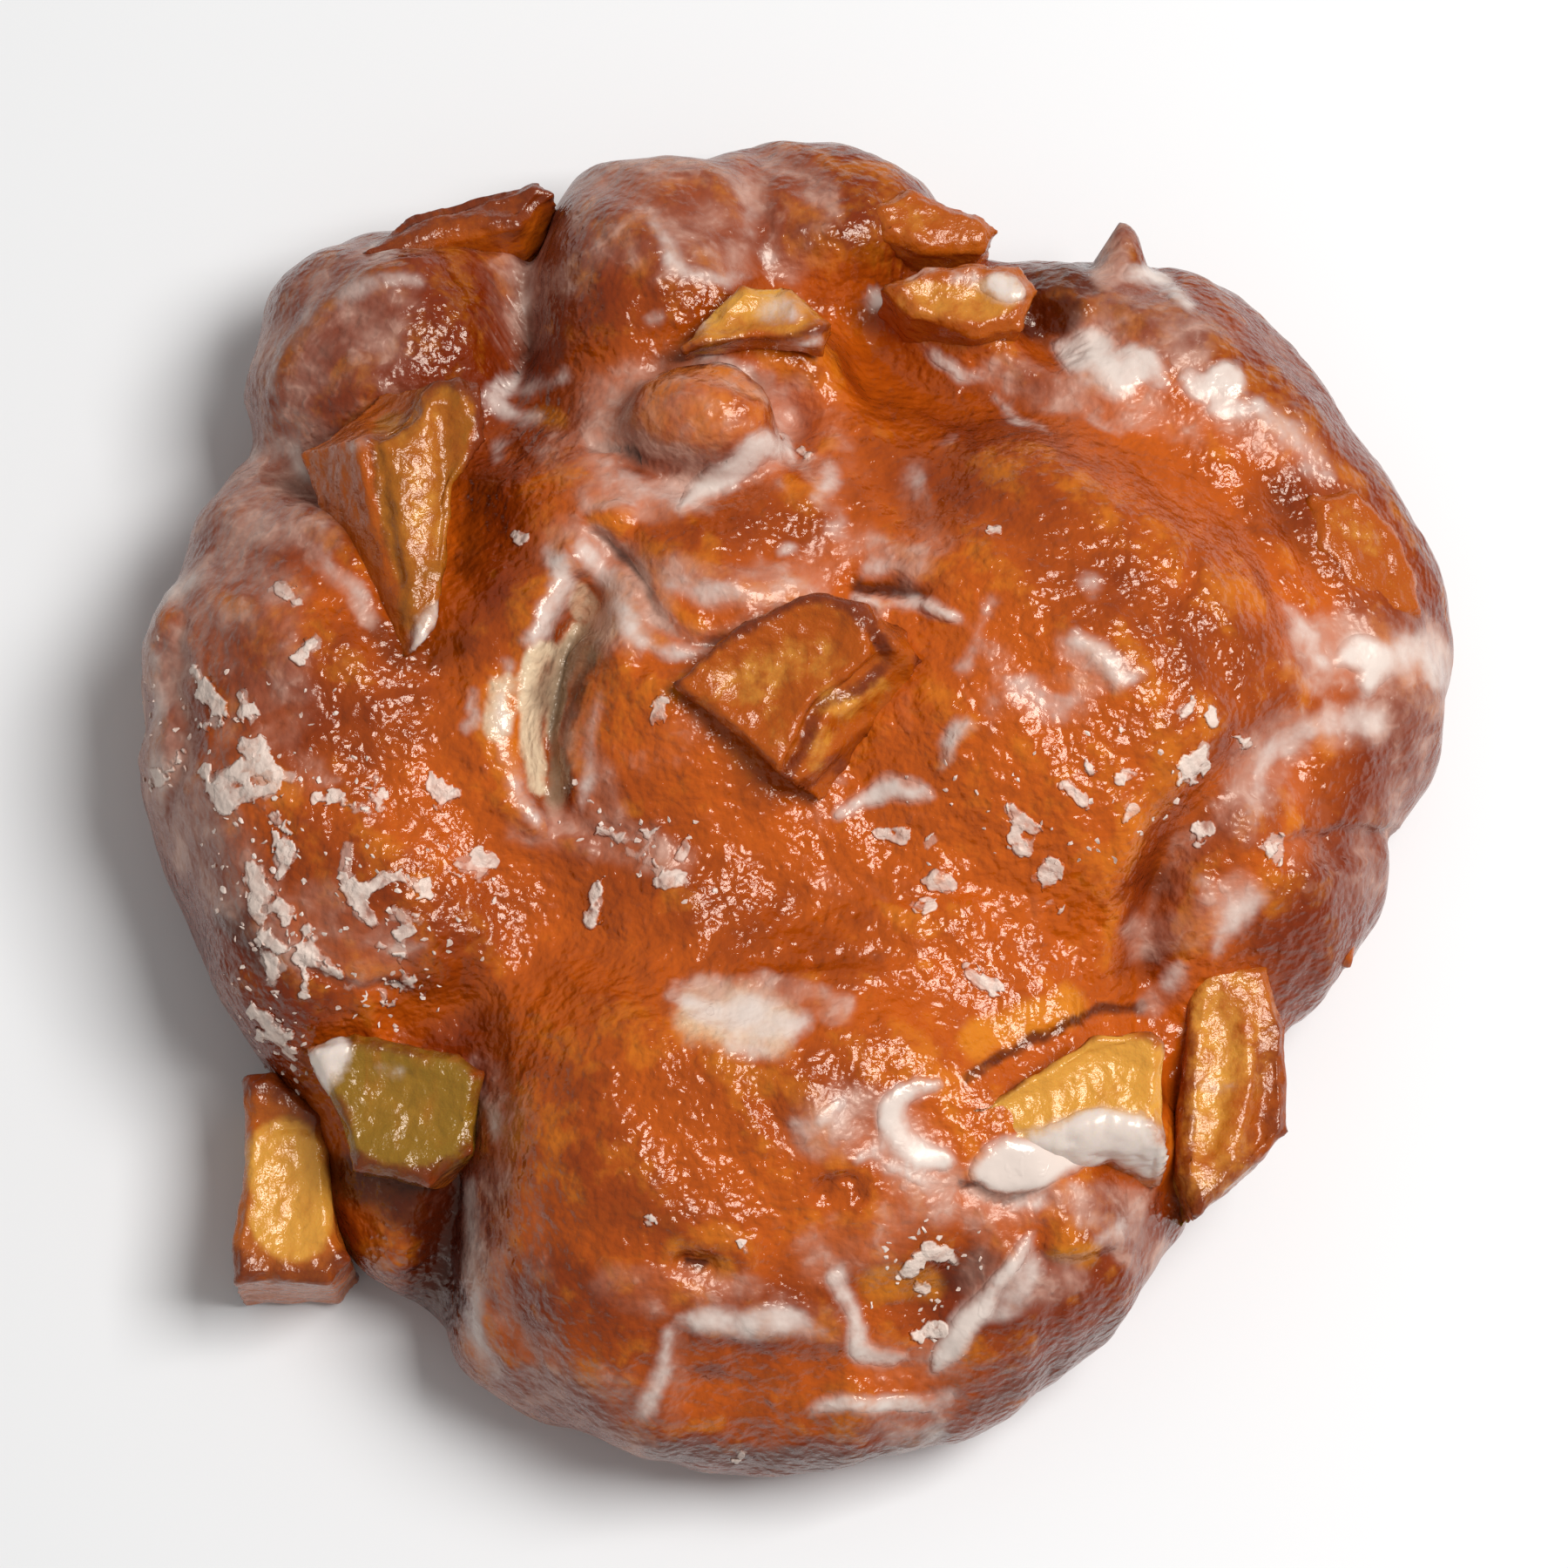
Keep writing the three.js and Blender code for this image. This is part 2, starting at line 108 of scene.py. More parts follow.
# Finer cuts and ridges, as seen from the front and above, in millimetres from the middle of the
# view: their points, width and depth.
MARKS = (
    ("fold crack", ((-18, 23), (-14.5, 20.5), (-12.5, 17), (-11.5, 15), (-9, 13.5),
        (-5, 13)), 0.5, 0.8),
    ("fold ridge", ((-19.5, 21), (-16, 18.5), (-14.5, 15.5), (-15, 12)), 1.3, -0.7),
    ("fold ridge high", ((-16, 24.5), (-12, 21.5), (-8, 19.5), (-3, 18), (1, 18)), 1.4, -0.6),
    ("fold hollow", ((-13, 11), (-9.5, 11.5), (-6, 12)), 1.1, 0.8),
    ("crevice back lip", ((-17.5, 13), (-19.5, 9.5), (-19.5, 4), (-18.5, -2)), 0.8, -0.7),
    ("crevice tail", ((-21, -4), (-17, -5), (-13, -4.5)), 0.8, 0.5),
    ("crevice tail fold", ((-25.5, -1.5), (-22.5, -4), (-18, -5.5)), 1.0, -0.5),
    ("knob line", ((-18, 31.3), (-15.5, 31), (-13.5, 29.6)), 0.5, 0.7),
    ("knob cap line", ((-12, 37.5), (-8.5, 37.8), (-5, 37), (-2.5, 35.5)), 0.5, 0.5),
    ("dark slit", ((6.5, 18.7), (9, 18), (12, 17.3)), 0.9, 1.0),
    ("slit lip", ((7, 16.6), (9.5, 16.8), (12, 16.8), (15, 15.4)), 0.5, -0.4),
    ("dome crease", ((37.5, 21), (37.4, 18.5), (36, 16.5), (35.5, 14.5)), 0.6, 0.6),
    ("dome wrinkle", ((26, 14.5), (29, 11.5), (31, 9)), 0.9, -0.5),
    ("dome wrinkle low", ((14.5, 2), (16, 4), (17.5, 5.5)), 0.7, -0.4),
    ("middle wrinkle", ((-2, -16.6), (4, -16.4), (9, -15.2), (14, -15.4)), 0.9, 0.3),
    ("middle wrinkle high", ((7, -9), (13, -10.2), (19, -9.7), (22, -10.5)), 0.8, 0.45),
    ("middle ridge", ((-4, -17.8), (5, -17.6), (13, -17)), 0.9, -0.35),
    ("front pit", ((3.4, -38), (4.2, -36.6), (6.2, -36.4), (6.8, -37.8)), 0.7, 0.8),
    ("front pit floor", ((4.8, -38), (5.6, -37.9)), 1.3, 0.7),
    ("lower pit", ((-9, -44.3), (-7.2, -44.2)), 0.9, 1.3),
    ("lower pit slope", ((-10.5, -43.5), (-5, -45)), 1.6, 0.6),
    ("right pit", ((8, -47.5), (12, -47), (15, -46)), 2.0, 0.8),
    ("right low bubble", ((26, -42.2), (27.6, -42)), 1.7, -0.8),
    ("right low bubble ring", ((23.6, -41), (24.2, -43.5), (27, -44.6), (30, -43.5)), 0.7, 0.7),
    ("apple dent", ((16.5, -37.5), (19.5, -38.6), (24, -38)), 0.8, 0.9),
    ("left flap", ((-44, -16.8), (-40, -18.6), (-35, -18.7)), 0.5, 0.6),
    ("left edge ridge", ((-57, 17), (-57.6, 12), (-57, 6), (-58, 2)), 1.0, -0.7),
    ("left edge line", ((-55.5, 15), (-55.8, 9), (-55, 3), (-56.5, -2)), 0.7, 0.5),
    ("seam ridge", ((-28.5, -25), (-27.7, -31), (-28.6, -38), (-28, -46), (-25, -53)), 1.3, -0.7),
    ("side shelf", ((-9.5, -51.5), (-3, -52), (6, -53.5), (13, -54.5)), 1.1, 0.35),
    ("side dents", ((-7, -56), (-2, -58), (4, -56.5)), 1.8, 0.8),
    ("horn root", ((28, 46), (31, 45.5), (34.5, 46)), 1.4, 0.6),
    ("right wall", ((45.5, 27), (47.5, 23), (50, 19.5)), 1.4, 0.4),
    ("right wall lip", ((43.5, 25.5), (45.5, 21), (48, 17)), 1.0, -0.5),
    ("right edge fold", ((45, -5.4), (50, -4.8), (55.3, -4.4)), 0.5, 0.7),
)

# What is painted on the dough, as seen from the front and above, in millimetres from the middle of
# the view: its points, width and strength. First the film of thin, milky glaze.
FILM = (
    ("upper left lobe", ((-46, 34), (-44, 40), (-38, 45)), 6, 0.8),
    ("upper left lobe low", ((-42, 35), (-37, 38)), 5, 0.8),
    ("upper left rim", ((-36, 48), (-28, 49)), 2.5, 0.8),
    ("upper left dent", ((-26, 47), (-25, 41)), 3, 0.9),
    ("top centre", ((-21, 50), (-14, 54), (-6, 54)), 6, 0.8),
    ("top centre low", ((-12, 50), (-6, 49)), 4, 0.8),
    ("top right", ((-2, 57), (2, 54), (1, 49)), 4, 0.7),
    ("left shoulder", ((-51, 26), (-45, 26)), 6, 0.9),
    ("left shoulder low", ((-53, 18), (-48, 17)), 5, 0.85),
    ("left edge", ((-56, 12), (-57, 2), (-54, -6)), 3.5, 0.9),
    ("left centre", ((-53, 16), (-47, 10), (-50, 2)), 4.5, 0.7),
    ("left flank", ((-52, -4), (-51, -9), (-46, -14)), 4, 0.8),
    ("left low", ((-42, -11), (-40, -16), (-36, -15)), 3.5, 0.75),
    ("left low flakes", ((-44, 1), (-49, 0)), 3, 0.6),
    ("beside apple", ((-43, 21), (-40, 18), (-38, 15)), 1.2, 0.9),
    ("knob", ((-14, 33), (-8, 34), (-3, 33)), 6, 0.95),
    ("horn", ((30, 47), (31, 51)), 2, 1),
    ("knob left", ((-20, 30), (-16, 31), (-14, 34)), 3, 0.75),
    ("behind knob", ((1, 36), (4, 33), (5, 28)), 3, 0.6),
    ("knob foot", ((-17, 27), (-12, 26), (-8, 27)), 2.5, 1),
    ("fold", ((-20, 22), (-15, 20), (-12, 18), (-15, 14)), 3, 0.95),
    ("fold right", ((-10, 19), (-4, 18), (2, 18)), 2.6, 0.85),
    ("fold low", ((-12, 14), (-7, 13), (-3, 14)), 1.6, 0.8),
    ("slit", ((1, 17), (5, 22), (9, 21), (12, 20)), 2.5, 0.75),
    ("spots high", ((3, 29), (4, 26)), 1.6, 0.8),
    ("spots right", ((12, 29), (12, 26), (14, 22)), 2, 0.55),
    ("brow", ((29, 43), (32, 43), (37, 41)), 3.5, 0.9),
    ("brow low", ((20, 38), (25, 36), (33, 34.5)), 2.6, 0.8),
    ("brow end", ((36, 34), (42, 33), (47, 31)), 3, 0.7),
    ("right rim", ((46, 34), (49, 30), (51, 28)), 2.2, 0.65),
    ("right top edge", ((36, 44), (42, 41), (47, 38)), 2, 0.5),
    ("right shelf", ((50, 12), (56, 12), (61, 9)), 4.5, 0.95),
    ("right drop", ((58, 8), (58, 2), (55, -4), (54, -9)), 3, 0.7),
    ("right band", ((54, 6), (48, 5), (44, 2), (42, -3)), 2.8, 0.85),
    ("right band low", ((43, -4), (38, -6), (35, -12)), 2.4, 0.6),
    ("right low", ((33, -14), (38, -13), (42, -10)), 2.6, 0.85),
    ("right low flank", ((46, -2), (50, -8)), 4, 0.5),
    ("beside corner", ((34, -20), (36, -18)), 1.6, 0.8),
    ("dome patch", ((20, 8), (27, 8)), 3, 0.55),
    ("dome patch high", ((26, 13), (31, 10)), 2, 0.85),
    ("dome spots", ((17, 11), (20, 12)), 1.6, 0.5),
    ("dome low", ((5, -9), (8, -11)), 2.4, 0.45),
    ("middle left", ((-19, 6), (-17, 0), (-16, -4)), 2, 0.7),
    ("middle left low", ((-24, -4), (-17, -5), (-10, -7)), 2.4, 0.75),
    ("middle", ((-14, 3), (-9, 4)), 3, 0.35),
    ("centre top", ((-1, -1), (3, -2)), 2, 0.3),
    ("front pool edge", ((-10, -19), (0, -19), (5, -21)), 1.6, 0.9),
    ("front right pool", ((4, -31), (9, -32), (14, -37)), 4, 0.85),
    ("front right low", ((12, -38), (9, -42), (4, -43)), 3.5, 0.65),
    ("under apple", ((18, -39), (25, -38.5), (32, -39)), 2.5, 0.9),
    ("under corner", ((30, -41), (34, -44), (35, -47)), 2.5, 0.8),
    ("valley", ((20, -42), (18, -46), (22, -47), (26, -45)), 2.5, 0.75),
    ("front seam", ((-27, -27), (-26.5, -33), (-27, -40), (-27, -48)), 2.2, 0.7),
    ("front foot", ((-27, -50), (-22, -54), (-15, -57)), 3.5, 0.6),
    ("front foot edge", ((-29, -53), (-22, -58), (-13, -61)), 2, 0.7),
    ("front low", ((-16, -46), (-10, -47), (-4, -47)), 2.6, 0.7),
    ("front low right", ((0, -49), (4, -50)), 2.5, 0.7),
    ("front drops", ((9, -53), (14, -53), (14.5, -57)), 2.5, 0.6),
    ("front skirt", ((10, -58), (12, -61)), 3, 0.6),
    ("front skirt left", ((-10, -52), (-11, -58)), 2, 0.6),
    ("side right", ((17, -57), (25, -53), (32, -47)), 2, 0.1),
    ("front spots", ((-22, -46), (-25, -38)), 2, 0.5),
    ("front spots high", ((-24, -33), (-25, -28)), 2, 0.5),
)
# Pale dough that shows in crevices and thin places, and the shaded dough deep inside.
RAW = (
    ("crevice wall", ((-22.5, 12.5), (-23.4, 9), (-23.4, 4), (-22.6, -0.5)), 1.1, 0.75),
    ("crevice floor", ((-19, 14), (-20.6, 10), (-21, 5)), 1.2, 0.7),
    ("crevice yellow", ((-26, 9), (-26.5, 5)), 1.2, 0.6),
    ("fold", ((-19, 17), (-16, 14)), 1.6, 0.5),
    ("pool", ((-7, -21), (-2, -22)), 3.5, 0.55),
)
GREY = (
    ("crevice pocket", ((-18, 13), (-20, 10.5), (-21.7, 8)), 1.8, 0.8),
    ("crevice pocket low", ((-21, 6), (-20.4, 1), (-21, -2)), 1.1, 0.8),
    ("fold", ((-13, 15), (-14, 19)), 2, 0.4),
)
# Where the crust is darkest: shade painted into it, in creases, cracks, hollows and slits and in
# the gaps under the apple pieces.
PAINTED_SHADE = (
    ("behind apple", ((-27.4, 28), (-28.6, 23), (-28.9, 20)), 1.2, 0.5),
    ("under apple tip", ((-37, 14), (-34, 11.5), (-30, 13)), 1.6, 0.5),
    ("left edge", ((-51, -12), (-48, -16)), 1.5, 0.7),
    ("seam", ((-34, -38), (-31, -42), (-32, -47)), 3, 0.9),
    ("red hollow", ((22.5, 43.5), (25.5, 43)), 2, 1),
    ("red hollow wall", ((22, 46), (28, 46.5)), 1.6, 0.7),
    ("under top right", ((2, 50.5), (6, 50), (9, 48)), 1.6, 0.4),
    ("under apple top", ((-2, 37), (3, 37.5)), 1.2, 0.35),
    ("slit", ((7, 18.2), (11.5, 17.8)), 0.9, 0.6),
    ("right wall", ((46, 26), (48, 22), (51, 20)), 1.8, 0.3),
    ("right fold", ((33.5, -15.5), (37, -15.3)), 0.9, 0.4),
    ("right fold wall", ((33.5, -8), (36, -9)), 1.4, 0.2),
    ("apple dent", ((16.5, -37), (19.5, -38.3), (22, -38.3)), 0.6, 0.9),
    ("valley", ((18, -43.5), (16, -46)), 1.6, 0.6),
    ("lower pit", ((-8.6, -44.3), (-7.4, -44.3)), 0.5, 1),
    ("front hem", ((-12, -61), (0, -62), (9, -62), (14, -60)), 1.2, 0.6),
    ("right hem", ((18, -57.5), (26, -53), (31, -49)), 1, 0.5),
    ("side notch", ((-6, -54), (1, -55)), 1, 0.25),
    ("top valley", ((-24, 43), (-24, 48)), 1.2, 0.4),
    ("middle line", ((3, -17), (9, -15.5)), 0.8, 0.2),
    ("apple edge", ((17, -27), (22, -24), (28, -21), (33, -20.5)), 0.6, 0.8),
    ("under centre apple", ((-10, 8.5), (-5, 4), (-1, -0.5)), 0.9, 0.25),
    ("crevice line", ((-16.6, 13), (-18.6, 9), (-19.2, 4), (-19.4, -1)), 0.4, 0.8),
    ("crevice line left", ((-21.6, 12), (-22, 9.5), (-21.6, 7)), 0.35, 0.6),
    ("fold crack", ((-18, 23), (-14.5, 20.5), (-12.5, 17), (-11.5, 15), (-9, 13.5),
        (-5, 13)), 0.4, 0.45),
    ("knob line", ((-18, 31.3), (-15.5, 31), (-13.5, 29.8)), 0.5, 0.7),
    # Painted shadow on the dough beside the left low apple piece.
    ("beside left low", ((-40, -36), (-35, -37.5), (-31, -37)), 2.4, 0.8),
)
# Where the crust has fried longer, together with painted shade on its outer lobes and sloping
# sides, where less light falls.
FRIED_AND_SHADED = (
    ("upper left lobe", ((-47, 38), (-42, 42), (-34, 42), (-28, 40)), 9, 1),
    ("left shoulder", ((-55, 22), (-48, 26), (-42, 29)), 7, 0.8),
    ("left centre", ((-52, 14), (-44, 6), (-36, 10)), 6, 0.5),
    ("left edge", ((-57, 10), (-57, -2), (-51, -14), (-46, -20)), 5, 0.8),
    ("top centre", ((-22, 46), (-14, 50), (-6, 52)), 8, 0.7),
    ("top right", ((-2, 58), (6, 56), (12, 50)), 5, 0.6),
    ("knob foot", ((-14, 30), (-10, 28.6), (-5, 29.4)), 1.6, 0.5),
    ("under knob", ((-10, 22), (-4, 24), (2, 24)), 3, 0.4),
    ("behind apple", ((-28, 30), (-26, 22), (-28, 14)), 3.5, 0.6),
    ("horn", ((28, 52), (31, 50), (34, 48)), 3, 1),
    ("right brow", ((20, 45), (28, 46), (38, 42)), 4, 0.8),
    ("right edge", ((44, 40), (52, 32), (57, 24), (60, 14)), 4, 0.7),
    ("right flank", ((57, 4), (55, -6), (49, -14)), 5.5, 0.9),
    ("right fold", ((42, -2), (36, -9), (34, -16)), 3, 0.5),
    ("middle", ((-16, -4), (-6, -12), (4, -16)), 5, 0.4),
    ("front", ((-20, -30), (-16, -38), (-8, -44)), 5, 0.4),
    ("front low", ((-22, -46), (-10, -50), (4, -48)), 4, 0.6),
    ("seam", ((-30, -24), (-31, -36), (-30, -48)), 4, 0.7),
    ("front right", ((14, -46), (24, -48), (33, -44)), 5, 0.8),
    ("front side", ((-26, -56), (-8, -60), (8, -61), (24, -54)), 4, 0.35),
    ("right corner", ((30, -40), (36, -42)), 4, 0.6),
    ("dome top", ((10, 36), (18, 33), (24, 36)), 4, 0.4),
    ("dome", ((14, 28), (24, 24), (36, 16), (42, 8)), 7, 0.4),
    ("right side", ((48, 26), (54, 22), (57, 16)), 4, 0.6),
    ("left low", ((-44, -8), (-36, -12), (-30, -14)), 5, 0.55),
    ("front middle", ((-8, -28), (0, -30), (6, -28)), 4, 0.35),
)
# Where the crust has fried least.
GOLD = (
    ("side", ((-8, -54), (-5, -57), (2, -58), (8, -57)), 4, 0.35),
    ("side right", ((16, -54), (22, -52), (29, -49)), 3, 0.3),
    ("right pit", ((9, -46.5), (13, -46)), 2.5, 0.8),
    ("lower pit", ((-10, -43.8), (-6, -44.4)), 2, 0.7),
    ("right low bubble", ((26, -43), (28, -43.5)), 1.8, 0.7),
    ("apple edge", ((18, -23.5), (22, -22), (26, -20)), 2.2, 0.8),
    ("front pool", ((-6, -26), (-2, -28)), 2.2, 0.6),
    ("front", ((-14, -40), (-6, -36)), 6, 0.25),
    ("top centre spot", ((-22, 41.5), (-21.5, 42)), 0.7, 0.9),
    ("lump", ((-23, 34), (-21, 33.5)), 1.4, 0.6),
    ("main dome", ((24, 12), (32, 6)), 7, 0.2),
    ("main dome low", ((20, 0), (30, -2), (36, 4)), 6, 0.3),
    ("crevice", ((-28.5, 9), (-27.5, 4)), 1.5, 0.5),
)

# Icing, seen in the same way: along each run its points with their half widths, its thickness and
# how white it is. The front gloss is a painted highlight, and the dome patch is partly one.
ICING = (
    ("under knob", ((-9.4, 25.6, 0.7), (-8, 26.8, 1.2), (-6, 28, 1.4), (-4, 29.2, 1.3),
        (-2.4, 30.6, 1.5), (-0.6, 31, 1.2), (0.8, 29.8, 0.6)), 0.6, 0.9),
    ("under knob left", ((-14.6, 28, 0.5), (-12.4, 27, 0.9), (-10, 26.6, 0.9)), 0.2, 0.45),
    ("apple front", ((18.4, -35.6, 1.4), (19.8, -35.2, 2.4), (22, -34.9, 2.6), (25, -34.4, 2),
        (28, -33.4, 1.4)), 0.9, 1),
    ("under knob thread", ((-16.2, 29.6, 0.4), (-14.4, 27.6, 0.4), (-13.6, 25.8, 0.3)), 0.3, 0.5),
    ("left edge", ((-58.4, 14.6, 0.5), (-57.6, 16.4, 0.8), (-56, 17.8, 0.9), (-54, 18.8, 0.6),
        (-52.4, 19.2, 0.4)), 0.4, 0.6),
    ("left edge low", ((-58.2, 13.4, 0.6), (-57.6, 10.6, 0.7), (-57.4, 7, 0.6), (-57.8, 3, 0.5),
        (-57.2, 0, 0.7), (-57.2, -2.6, 0.4)), 0.4, 0.55),
    ("left shoulder", ((-48.6, 30, 0.6), (-47, 30.8, 0.9), (-45.6, 31.6, 0.7), (-44.8, 30, 0.7),
        (-44, 28.4, 0.6), (-43, 27, 0.4)), 0.4, 0.5),
    ("beside apple", ((-42.6, 25, 0.4), (-42.4, 22, 0.4), (-41.8, 20, 0.5), (-40.2, 18.6, 0.6),
        (-39, 16.8, 0.7), (-38.2, 15.6, 0.5)), 0.4, 0.5),
    ("upper left ridge", ((-47.6, 36.5, 0.8), (-46.4, 39, 0.9), (-44, 41.8, 0.8), (-41, 44.4, 1.1),
        (-39, 46, 1.3), (-36, 46.4, 1), (-33.6, 46.2, 0.5)), 0.25, 0.35),
    ("upper left rim", ((-37.6, 49.2, 0.7), (-36, 49.2, 0.8)), 0.4, 0.75),
    ("top thread", ((-23.8, 43.2, 0.35), (-23.2, 45.5, 0.45), (-22.8, 47.8, 0.45)), 0.3, 0.5),
    ("top thread right", ((-12, 51.8, 0.5), (-10.8, 50, 0.5), (-10.2, 48.4, 0.9), (-9, 47.2, 0.5),
        (-7, 46.6, 0.5), (-4.6, 46.4, 0.5), (-3.4, 46.8, 0.3)), 0.3, 0.6),
    ("top spots", ((-3.6, 52.2, 0.5), (-3.2, 51, 0.5)), 0.3, 0.5),
    ("top spot low", ((-1.6, 48.4, 0.6), (-1.4, 48, 0.5)), 0.25, 0.45),
    ("top spot left", ((-12, 42.6, 0.6), (-11.6, 43, 0.4)), 0.25, 0.5),
    ("top spot right", ((8.4, 44.2, 0.9), (8, 45.2, 0.6)), 0.35, 0.75),
    ("under top apple", ((-7.4, 39.3, 0.6), (-5.4, 38.9, 0.5), (-3, 38.2, 0.35)), 0.3, 0.75),
    ("lump", ((-22.8, 33.6, 0.6), (-25, 34, 0.9), (-26.8, 35.6, 1), (-25.4, 36.6, 1.1),
        (-24.4, 38, 0.7)), 0.7, 0.65),
    ("lump tail", ((-24, 36, 0.5), (-22, 36.8, 0.6), (-20, 37.8, 0.7)), 0.5, 0.55),
    ("lump drop", ((-25.8, 31.6, 0.4), (-26.4, 31, 0.7), (-26.2, 30, 0.5)), 0.4, 0.5),
    ("brow patch", ((25.6, 40.2, 0.9), (27, 39, 1.5), (28.6, 39.6, 2.2), (30.4, 37.6, 2),
        (32.4, 38.4, 1.8), (34.4, 37, 1)), 0.6, 0.78),
    ("brow patch foot", ((27.4, 37.4, 0.9), (29, 36.6, 1), (31.6, 35.8, 0.7)), 0.4, 0.6),
    ("brow patch right", ((37, 37.4, 1), (38.6, 36.2, 1.5), (40.8, 36.8, 1.7), (40.2, 34.4, 1.4),
        (42, 34.6, 0.9)), 0.6, 0.75),
    ("brow end", ((43.5, 34.5, 0.9), (45.6, 33, 1.2), (47, 31.5, 1.4), (48.5, 30, 1.3),
        (50, 28.4, 0.8)), 0.4, 0.5),
    ("horn patch", ((32.2, 46.7, 1), (34.5, 46.2, 1), (36.2, 44.7, 0.8),
        (37, 43.9, 0.5)), 0.5, 0.8),
    ("thread", ((12.4, 41, 0.35), (13.4, 39.8, 0.45), (14.8, 38.4, 0.55), (16.4, 37.6, 0.6),
        (18, 37.6, 0.45)), 0.35, 0.8),
    ("thread near", ((20, 36.7, 0.35), (21, 36, 0.3)), 0.25, 0.6),
    ("thread low", ((19.4, 35.6, 0.35), (20.4, 34.4, 0.4), (22, 33.3, 0.35),
        (24, 32.7, 0.3)), 0.4, 0.85),
    ("thread far", ((28, 33.7, 0.2), (29.6, 32.8, 0.3), (31, 32.2, 0.25)), 0.25, 0.6),
    ("right of knob", ((4, 29.4, 0.6), (4.4, 27.8, 0.9), (3, 26.2, 0.7)), 0.3, 0.55),
    ("right of knob low", ((5, 25, 0.5), (4.8, 23.2, 0.9), (5.6, 22.4, 0.6)), 0.3, 0.45),
    ("slit roof", ((7.6, 19.6, 0.5), (8.8, 19.8, 0.8)), 0.35, 0.55),
    ("slit lip", ((6.6, 17, 0.3), (7.6, 16.6, 0.5), (8.6, 16.2, 0.7), (8.8, 15.2, 0.4)), 0.4, 0.85),
    ("slit lip right", ((9.6, 16.6, 0.5), (11, 16.4, 0.6), (12.4, 16.4, 0.6), (13.6, 16, 0.7),
        (15, 15.4, 0.7), (16, 15.2, 0.4)), 0.4, 0.85),
    ("bright spots", ((-0.2, 21.4, 0.5), (0.8, 21.6, 0.3)), 0.3, 0.7),
    ("dome haze", ((11.8, 28, 1), (12.4, 26.5, 0.7)), 0.2, 0.3),
    ("dome dash", ((15.4, 31.3, 0.4), (14, 31.2, 0.25)), 0.25, 0.5),
    ("dome spot", ((28, 18.5, 0.8), (28.4, 17.8, 0.5)), 0.25, 0.65),
    # Glaze on the dome, painted partly as the highlight on it.
    ("dome patch", ((27, 13, 1), (28.6, 12.4, 1.3), (30, 11, 1.4), (30, 9.8, 0.9), (32, 9.9, 0.8),
        (33.4, 10.7, 0.5)), 0.3, 0.5),
    ("dome veil", ((20.6, 9.8, 0.6), (22, 8.4, 1.4), (25, 7.2, 1.7), (27, 8, 1.1)), 0.2, 0.35),
    ("dome veil left", ((16.6, 10.8, 0.9), (19.2, 17, 0.7)), 0.15, 0.3),
    ("streak", ((16.8, 5.3, 0.7), (15.4, 4.5, 0.9), (14.8, 2.6, 0.4), (14.4, 1.6, 0.25)), 0.3, 0.7),
    ("star", ((5, -2.6, 0.5), (6.4, -1.9, 0.7), (8, -1, 0.9), (10, -0.4, 1.2), (12, -1, 0.9),
        (13.4, -1.2, 0.5)), 0.4, 0.85),
    ("star left", ((4.8, 0.3, 0.4), (5.4, 0.2, 0.3)), 0.3, 0.7),
    ("right shelf", ((52, 12, 1.5), (53.6, 11.6, 2.1), (54.4, 11.2, 1.9),
        (53.6, 9.4, 1.2)), 0.8, 0.9),
    ("right shelf left", ((46.2, 16.4, 0.5), (47.4, 14.6, 0.7), (48.6, 12.8, 0.8),
        (49.8, 11.2, 0.8)), 0.4, 0.6),
    ("right shelf end", ((57, 12, 2.2), (59.2, 11.6, 2), (60.4, 9.6, 1.1)), 0.4, 0.5),
    ("right band", ((54, 6, 1.5), (51, 5.4, 1.6), (48, 4.8, 1.3), (46, 3.8, 1.1), (44.6, 3.2, 1),
        (43.6, 1.2, 0.8), (43.2, -1.6, 0.7), (42.8, -3.6, 0.5)), 0.3, 0.42),
    ("right low", ((43.4, -10.4, 1.5), (41.4, -12, 1.3), (40.4, -14, 0.9),
        (39.6, -15.6, 0.5)), 0.3, 0.45),
    ("right low dabs", ((37, -8.4, 0.4), (38.6, -9, 0.6), (39.4, -8.8, 0.4)), 0.25, 0.45),
    ("beside corner", ((35.2, -18.4, 0.8), (36.4, -17.2, 0.6)), 0.3, 0.55),
    ("fold", ((-23.4, 13.4, 0.7), (-22.2, 15, 1), (-20.8, 17.2, 1.4), (-20.4, 19.6, 1.1),
        (-21.6, 21.6, 0.6)), 0.3, 0.62),
    ("fold right", ((-18.6, 21.8, 0.8), (-17, 20, 1), (-15.6, 17.6, 1.2), (-14.4, 15.2, 1.1),
        (-13, 13.2, 0.8), (-10, 12, 0.7), (-7, 12.4, 0.5)), 0.25, 0.6),
    ("fold far", ((-11, 18.4, 0.7), (-6, 17.6, 1), (-1, 17.8, 0.8), (2, 18.6, 0.5)), 0.15, 0.42),
    ("crevice lip", ((-17, 8, 0.4), (-17.8, 3, 0.5), (-18, 0, 0.5), (-18.6, -2.4, 0.4)), 0.3, 0.6),
    ("crevice rim", ((-25.4, 11, 0.5), (-26, 7, 0.7), (-25.6, 3, 0.7), (-24.4, -1, 0.6),
        (-22.6, -3.6, 0.5)), 0.2, 0.55),
    ("crevice left", ((-28.4, 8.2, 0.3), (-28.6, 6.8, 0.5), (-28.2, 5.8, 0.5),
        (-29.2, 5.2, 0.4)), 0.25, 0.6),
    ("pool", ((-8.8, -20, 0.9), (-6.4, -21.4, 1.7), (-3.6, -21.2, 2.2), (-0.6, -22, 1.9),
        (1.8, -21.8, 1)), 0.3, 0.62),
    ("pool foot", ((-5, -23.6, 0.8), (-2.6, -24.6, 1), (-0.6, -24, 0.7)), 0.2, 0.45),
